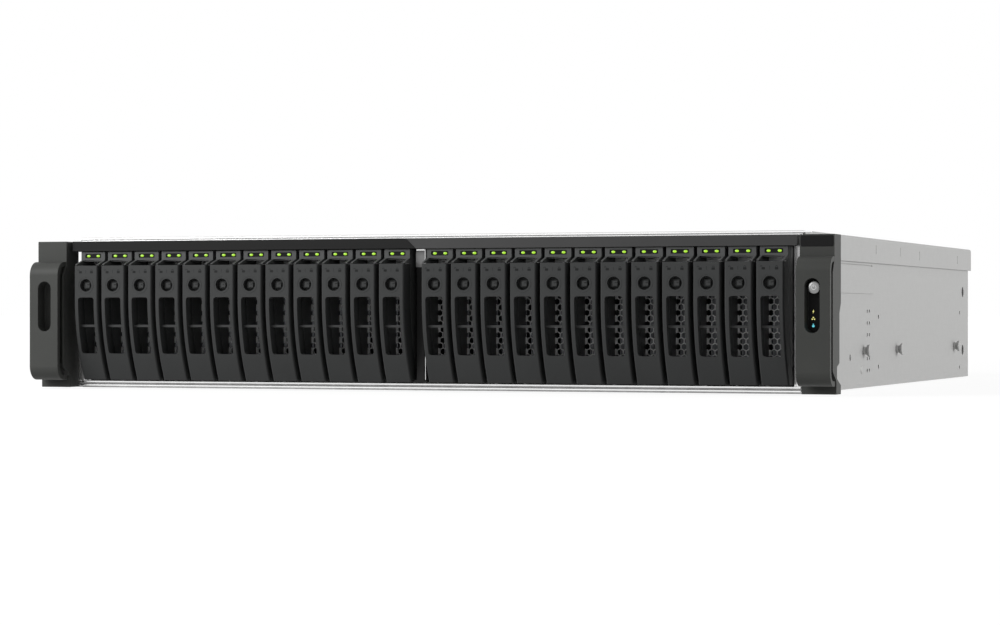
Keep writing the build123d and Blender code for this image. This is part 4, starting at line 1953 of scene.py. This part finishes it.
@dataclass
class Rear:
    """The rear panel with its ports, vents and expansion covers."""

    half: float = 217.9
    sheet: float = 1.2
    low: float = 1.2
    high: float = 87.4
    supply_left: float = 134.1
    supply_right: float = 208.2
    supply_top: float = 82.8
    board_left: float = -211.9
    port_floor: float = 8.8
    port_gap: float = 0.4
    port_wall: float = 1.0
    ports: tuple[Port, ...] = (
        Port(20.0, 16.0, 15.0, 1, BRIGHT_SHEET),
        Port(44.0, 30.0, 15.0, 2, CONNECTOR_PLASTIC),
        Port(84.0, 34.0, 14.0, 2, BRIGHT_SHEET),
        Port(140.0, 60.0, 12.0, 4, BRIGHT_SHEET),
        Port(220.0, 60.0, 12.0, 4, BRIGHT_SHEET),
    )
    tongue_half: float = 0.9
    tongue_share: float = 0.28
    slot_x: float = -150.0
    slot_heights: tuple[float, ...] = (43.0, 55.0, 67.0, 79.0)
    slot_half: Flat = (48.0, 4.2)
    vent_middle: Flat = (42.0, 54.0)
    vent_columns: int = 26
    vent_row_pairs: int = 4
    vent_pitch: float = 5.2
    vent_radius: float = 2.1

    def panel(self, punch: NodeForm) -> Solid:
        """Form the panel's sheet with its cut-outs and its vent field.

        Args:
            punch: The perforation tree.

        Returns:
            The closed form.
        """
        front, gap = REAR - self.sheet, self.port_gap
        form = Solid().box((-self.half, front, self.low), (self.half, REAR, self.high))
        cuts = Solid().box(
            (self.supply_left, front - 1, self.low - 1),
            (self.supply_right, REAR + 1, self.supply_top),
        )
        for port in self.ports:
            left = self.board_left + port.x
            cuts.box(
                (left - gap, front - 1, self.port_floor - gap),
                (left + port.width + gap, REAR + 1, self.port_floor + port.height + gap),
            )
        for height in self.slot_heights:
            outline = rounded(*self.slot_half, 1.0, 3)
            cuts.prism(outline, Axis.DEPTH, front - 1, REAR + 1, (self.slot_x, height))
        field = HoleField(
            centre=(self.vent_middle[0], REAR - self.sheet / 2, self.vent_middle[1]),
            columns=self.vent_columns,
            row_pairs=self.vent_row_pairs,
            pitch=self.vent_pitch,
            radius=self.vent_radius,
            length=6.0,
            finish=ZINC_SHEET,
        )
        return field.punched(form.cut(cuts), punch)

    def slot_covers(self) -> Solid:
        """Form the expansion slots' blank covers, each with a raised rib.

        Returns:
            The closed forms.
        """
        half_x, half_z = self.slot_half
        form = Solid()
        for height in self.slot_heights:
            at = (self.slot_x, height)
            plate = rounded(half_x - 0.3, half_z - 0.3, 0.8, 3)
            form.prism(plate, Axis.DEPTH, REAR - self.sheet - 0.6, REAR - 0.4, at)
            form.prism(rounded(half_x - 6, 1.0, 0.9, 4), Axis.DEPTH, REAR - 0.5, REAR + 0.25, at)
        return form

    def port_form(self, port: Port) -> Solid:
        """Form a socket's shell with its openings.

        Args:
            port: The socket.

        Returns:
            The closed form.
        """
        left, wall = self.board_left + port.x, self.port_wall
        low, high = self.port_floor + 0.1, self.port_floor + port.height
        form = Solid().box((left, REAR - 9.0, low), (left + port.width, REAR + 0.6, high))
        mouths = Solid()
        for index in range(port.openings):
            near, far = left + index * port.pitch, left + (index + 1) * port.pitch
            mouths.box((near + wall, REAR - 7.5, low + 1.2), (far - wall, REAR + 2, high - 1.2))
        return form.cut(mouths)

    def port_tongues(self, port: Port) -> Solid:
        """Form the contact tongues inside a socket.

        Args:
            port: The socket.

        Returns:
            The closed forms.
        """
        height = (2 * self.port_floor + 0.1 + port.height) / 2
        half, reach = self.tongue_half, port.pitch * self.tongue_share
        form = Solid()
        for index in range(port.openings):
            middle = self.board_left + port.x + (index + 0.5) * port.pitch
            form.box(
                (middle - reach, REAR - 8.0, height - half), (middle + reach, REAR - 2.0, height + half)
            )
        return form

    def build(self, punch: NodeForm) -> None:
        """Put the rear panel and its sockets on the chassis.

        Args:
            punch: The perforation tree.
        """
        body, panel = "chassis", self.panel(punch).finished()
        seat("rear_panel", panel, ZINC_SHEET, body, ["chassis_base"])
        seat("slot_covers", self.slot_covers().finished(0.15), BRIGHT_SHEET, body)
        for number, port in enumerate(self.ports, start=1):
            name = f"rear_port_{number}"
            seat(name, self.port_form(port).finished(0.12), port.finish, body)
            tongues = self.port_tongues(port).finished(0.1)
            seat(f"{name}_tongues", tongues, CONNECTOR_PLASTIC, body)


@dataclass
class Supplies:
    """The two plug-in power supplies, each with an inlet, a fan grille, a handle and a release tab."""

    low_edges: tuple[float, float] = (2.0, 42.5)
    left: float = 134.4
    right: float = 207.9
    height: float = 40.0
    length: float = 185.0
    back: float = REAR + 2.0
    inlet_left: float = 140.4
    inlet_half: Flat = (12.0, 8.5)
    inlet_depth: float = 14.0
    blades: tuple[Flat, ...] = ((-7.0, -1.5), (0.0, 2.5), (7.0, -1.5))
    handle_x: float = 168.4
    handle_sheet: float = 3.0
    handle_reach: float = 22.0
    handle_inset: float = 4.0
    tab_x: float = 200.9
    tab_sheet: float = 3.0
    tab_reach: float = 12.0
    ridges: int = 4
    ridge_pitch: float = 1.8
    grille_x: float = 186.5
    pocket_radius: float = 12.8
    pocket_depth: float = 10.0
    grille_sheet: float = 1.0
    grille_columns: int = 6
    grille_row_pairs: int = 4
    grille_pitch: float = 3.4
    grille_radius: float = 1.5

    def inlet_middle(self, low: float) -> Flat:
        """Give the middle of the inlet of the supply whose underside is at this height."""
        return (self.inlet_left + self.inlet_half[0], low + self.height / 2)

    def case(self, low: float, punch: NodeForm) -> Solid:
        """Form a supply's case with its inlet well and its perforated fan outlet.

        Args:
            low: The height of its underside.
            punch: The perforation tree.

        Returns:
            The closed form.
        """
        back, middle = self.back, low + self.height / 2
        form = Solid().box((self.left, REAR - self.length, low), (self.right, back, low + self.height))
        well, pocket = Solid(), Solid()
        mouth = rounded(*self.inlet_half, 2.0, 4)
        well.prism(mouth, Axis.DEPTH, back - self.inlet_depth, back + 1, self.inlet_middle(low))
        at = (self.grille_x, middle)
        front = back - self.pocket_depth
        pocket.prism(disc(self.pocket_radius, 40), Axis.DEPTH, front, back - self.grille_sheet, at)
        field = HoleField(
            centre=(self.grille_x - self.grille_pitch / 4, back - self.grille_sheet / 2, middle),
            columns=self.grille_columns,
            row_pairs=self.grille_row_pairs,
            pitch=self.grille_pitch,
            radius=self.grille_radius,
            length=3.0,
            finish=SUPPLY_SHEET,
        )
        return field.punched(form.cut(well, pocket), punch)

    def liner(self, low: float) -> Solid:
        """Form an inlet's black liner.

        Args:
            low: The height of the supply's underside.

        Returns:
            The closed form.
        """
        floor = self.back - self.inlet_depth
        outline = rounded(*[half - 0.1 for half in self.inlet_half], 1.9, 4)
        return Solid().prism(outline, Axis.DEPTH, floor + 0.02, floor + 1.2, self.inlet_middle(low))

    def inlet_blades(self, low: float) -> Solid:
        """Form an inlet's three blades.

        Args:
            low: The height of the supply's underside.

        Returns:
            The closed forms.
        """
        floor = self.back - self.inlet_depth
        x, middle = self.inlet_middle(low)
        form = Solid()
        for dx, dz in self.blades:
            at = (x + dx, middle + dz)
            form.prism(rounded(1.0, 2.0, 0.3, 2), Axis.DEPTH, floor + 1.0, floor + 9.5, at)
        return form

    def handle(self, low: float) -> Solid:
        """Form a supply's pull handle.

        Args:
            low: The height of the supply's underside.

        Returns:
            The closed form.
        """
        sheet, x = self.handle_sheet, self.handle_x
        half_reach, half_rise = self.handle_reach / 2 + 2, self.height / 2 - self.handle_inset
        at = (self.back + self.handle_reach / 2 - 2, low + self.height / 2)
        form = Solid().prism(rounded(half_reach, half_rise, 4.0, 6), Axis.X, x, x + sheet, at)
        gap = rounded(half_reach - sheet, half_rise - sheet, 2.0, 6)
        return form.cut(
            Solid().prism(gap, Axis.X, x - 1, x + sheet + 1, at),
            Solid().box(
                (x - 1, self.back - 10, low), (x + sheet + 1, self.back - 0.5, low + self.height)
            ),
        )

    def tab(self, low: float) -> Solid:
        """Form a supply's spring release tab with its thumb ridges.

        Args:
            low: The height of the supply's underside.

        Returns:
            The closed form.
        """
        x, tip = self.tab_x, self.back + self.tab_reach
        bottom, top = low + self.handle_inset, low + self.height / 2
        form = Solid().box((x, self.back - 0.5, bottom), (x + self.tab_sheet, tip, top))
        for step in range(self.ridges):
            depth = tip - 1.6 - step * self.ridge_pitch
            form.add(Solid().box((x - 0.5, depth, bottom + 1), (x + 0.5, depth + 0.8, top - 1)))
        return form

    def build(self, punch: NodeForm) -> None:
        """Put each supply's pieces on its body.

        Args:
            punch: The perforation tree.
        """
        plastic = "trim_plastic"
        for number, low in enumerate(self.low_edges, start=1):
            pieces = (
                ("case", self.case(low, punch).finished(), SUPPLY_SHEET, "supply_case"),
                ("inlet", self.liner(low).finished(0.1), CONNECTOR_PLASTIC, plastic),
                ("inlet_blades", self.inlet_blades(low).finished(0.2), PIN_METAL, "bright_steel"),
                ("handle", self.handle(low).finished(0.5, 3), CONNECTOR_PLASTIC, plastic),
                ("release_tab", self.tab(low).finished(0.3), LATCH_PLASTIC, plastic),
            )
            body, replaced = f"supply_{number}", [f"power_supply_{number}"]
            for part, mesh, finish, slot in pieces:
                seat(f"{body}_{part}", mesh, finish, body, replaced)


@dataclass(frozen=True)
class SoftLamp:
    """A square soft lamp that faces the chassis: its place, its power in watts and its side."""

    name: str
    place: Point
    watts: float
    side: float = 1000.0

    def build(self) -> None:
        """Hang the lamp."""
        data = bpy.data.lights.new(self.name, "AREA")
        data.shape = "SQUARE"
        data.size = self.side * MM
        data.energy = self.watts
        item = bpy.data.objects.new(self.name, data)
        item.location = Vector(self.place) * MM
        item.rotation_euler = (-item.location).to_track_quat("-Z", "Y").to_euler()
        bpy.context.scene.collection.objects.link(item)


@dataclass
class Studio:
    """The camera at the photograph's angle, soft lamps, and a pale floor."""

    eye: Point = (585.2, -1720.15, 42.63)
    turn: float = 20.05
    lens: float = 101.07
    shift: float = 0.0027
    sky_strength: float = 0.3
    floor_half: float = 60000.0
    floor_drop: float = 0.6
    floor_tone: float = 0.55
    floor_share: float = 0.7
    glow_from: Flat = (900.0, 2400.0)
    glow_strength: Flat = (1.27, 1.42)
    lamps: tuple[SoftLamp, ...] = (
        SoftLamp("key_lamp", (-1200.0, -1350.0, 820.0), 29.0),
        SoftLamp("right_lamp", (2050.0, 500.0, 480.0), 19.0),
        SoftLamp("rear_lamp", (-600.0, 2000.0, 800.0), 8.0),
    )

    def camera(self) -> None:
        """Make the camera."""
        data = bpy.data.cameras.new("camera")
        data.lens = self.lens
        data.sensor_width = 36.0
        data.shift_y = self.shift
        data.clip_end = 100.0
        item = bpy.data.objects.new("camera", data)
        item.location = tuple(v * MM for v in self.eye)
        item.rotation_euler = (math.pi / 2, 0.0, math.radians(self.turn))
        bpy.context.scene.collection.objects.link(item)
        bpy.context.scene.camera = item

    def seen(self, tree: Tree) -> Socket:
        """Tell rays of view, gloss and transmission from rays of light.

        Args:
            tree: The node tree.

        Returns:
            1 for a ray of view, gloss or transmission, and 0 for the others.
        """
        path = add_node(tree, "ShaderNodeLightPath").outputs
        clear = reckon(tree, "MAXIMUM", path["Is Glossy Ray"], path["Is Transmission Ray"])
        return reckon(tree, "MAXIMUM", path["Is Camera Ray"], clear)

    def world(self) -> None:
        """Light the scene evenly, and show white where a ray of view or gloss meets nothing."""
        world = bpy.data.worlds.new("studio")
        bpy.context.scene.world = world
        world.use_nodes = True
        tree = world.node_tree
        tree.nodes.clear()
        span = {"Value": self.seen(tree), "To Min": self.sky_strength, "To Max": 1.0}
        strength = add_node(tree, "ShaderNodeMapRange", span).outputs["Result"]
        white = {"Color": (1.0, 1.0, 1.0, 1.0), "Strength": strength}
        sky = add_node(tree, "ShaderNodeBackground", white)
        add_node(tree, "ShaderNodeOutputWorld", {"Surface": sky.outputs["Background"]})

    def floor_material(self) -> bpy.types.Material:
        """Make the floor white to the eye, and matt under the chassis's shadow.

        Returns:
            The material.
        """
        material, tree = blank_material("pale_floor")
        matt = add_node(tree, "ShaderNodeBsdfDiffuse", {"Color": (*[self.floor_tone] * 3, 1.0)})
        away = add_node(tree, "ShaderNodeVectorMath", {0: object_place(tree)}, operation="LENGTH")
        near, far = [distance * MM for distance in self.glow_from]
        low, high = self.glow_strength
        span = {"From Min": near, "From Max": far, "To Min": low, "To Max": high}
        span["Value"] = away.outputs["Value"]
        strength = add_node(tree, "ShaderNodeMapRange", span).outputs["Result"]
        white = {"Color": (1.0, 1.0, 1.0, 1.0), "Strength": strength}
        glow = add_node(tree, "ShaderNodeEmission", white)
        share = reckon(tree, "MULTIPLY", self.seen(tree), self.floor_share)
        both = {0: share, 1: matt.outputs[0], 2: glow.outputs[0]}
        mixed = add_node(tree, "ShaderNodeMixShader", both)
        add_node(tree, "ShaderNodeOutputMaterial", {"Surface": mixed.outputs[0]})
        return material

    def floor(self) -> None:
        """Lay the pale floor; it keeps the chassis's shadow."""
        half, low = self.floor_half * MM, -self.floor_drop * MM
        data = bpy.data.meshes.new("floor")
        corners = [(-half, -half, low), (half, -half, low), (half, half, low), (-half, half, low)]
        data.from_pydata(corners, [], [(0, 1, 2, 3)])
        data.materials.append(self.floor_material())
        item = bpy.data.objects.new("floor", data)
        bpy.context.scene.collection.objects.link(item)

    def build(self) -> None:
        """Set the whole stage."""
        bpy.context.scene.view_settings.view_transform = "Standard"
        self.camera()
        self.world()
        self.floor()
        for lamp in self.lamps:
            lamp.build()


def main() -> None:
    """Build every sub-assembly in order."""
    logging.basicConfig(level=logging.INFO, format="%(message)s")
    Studio().build()
    bays = Bays()
    levers = Levers()
    punch = perforation()
    levers.build(bays)
    Trays().build(bays, levers, punch)
    Ears().build()
    FrontTrim().build()
    Casing().build()
    KeptForm("drive_cage", BRIGHT_SHEET).build()
    KeptForm("backplane", SOLDER_MASK).build()
    KeptForm("fan_wall", FAN_PLASTIC).build()
    Board().build()
    Rear().build(punch)
    Supplies().build(punch)


if __name__ == "__main__":
    main()
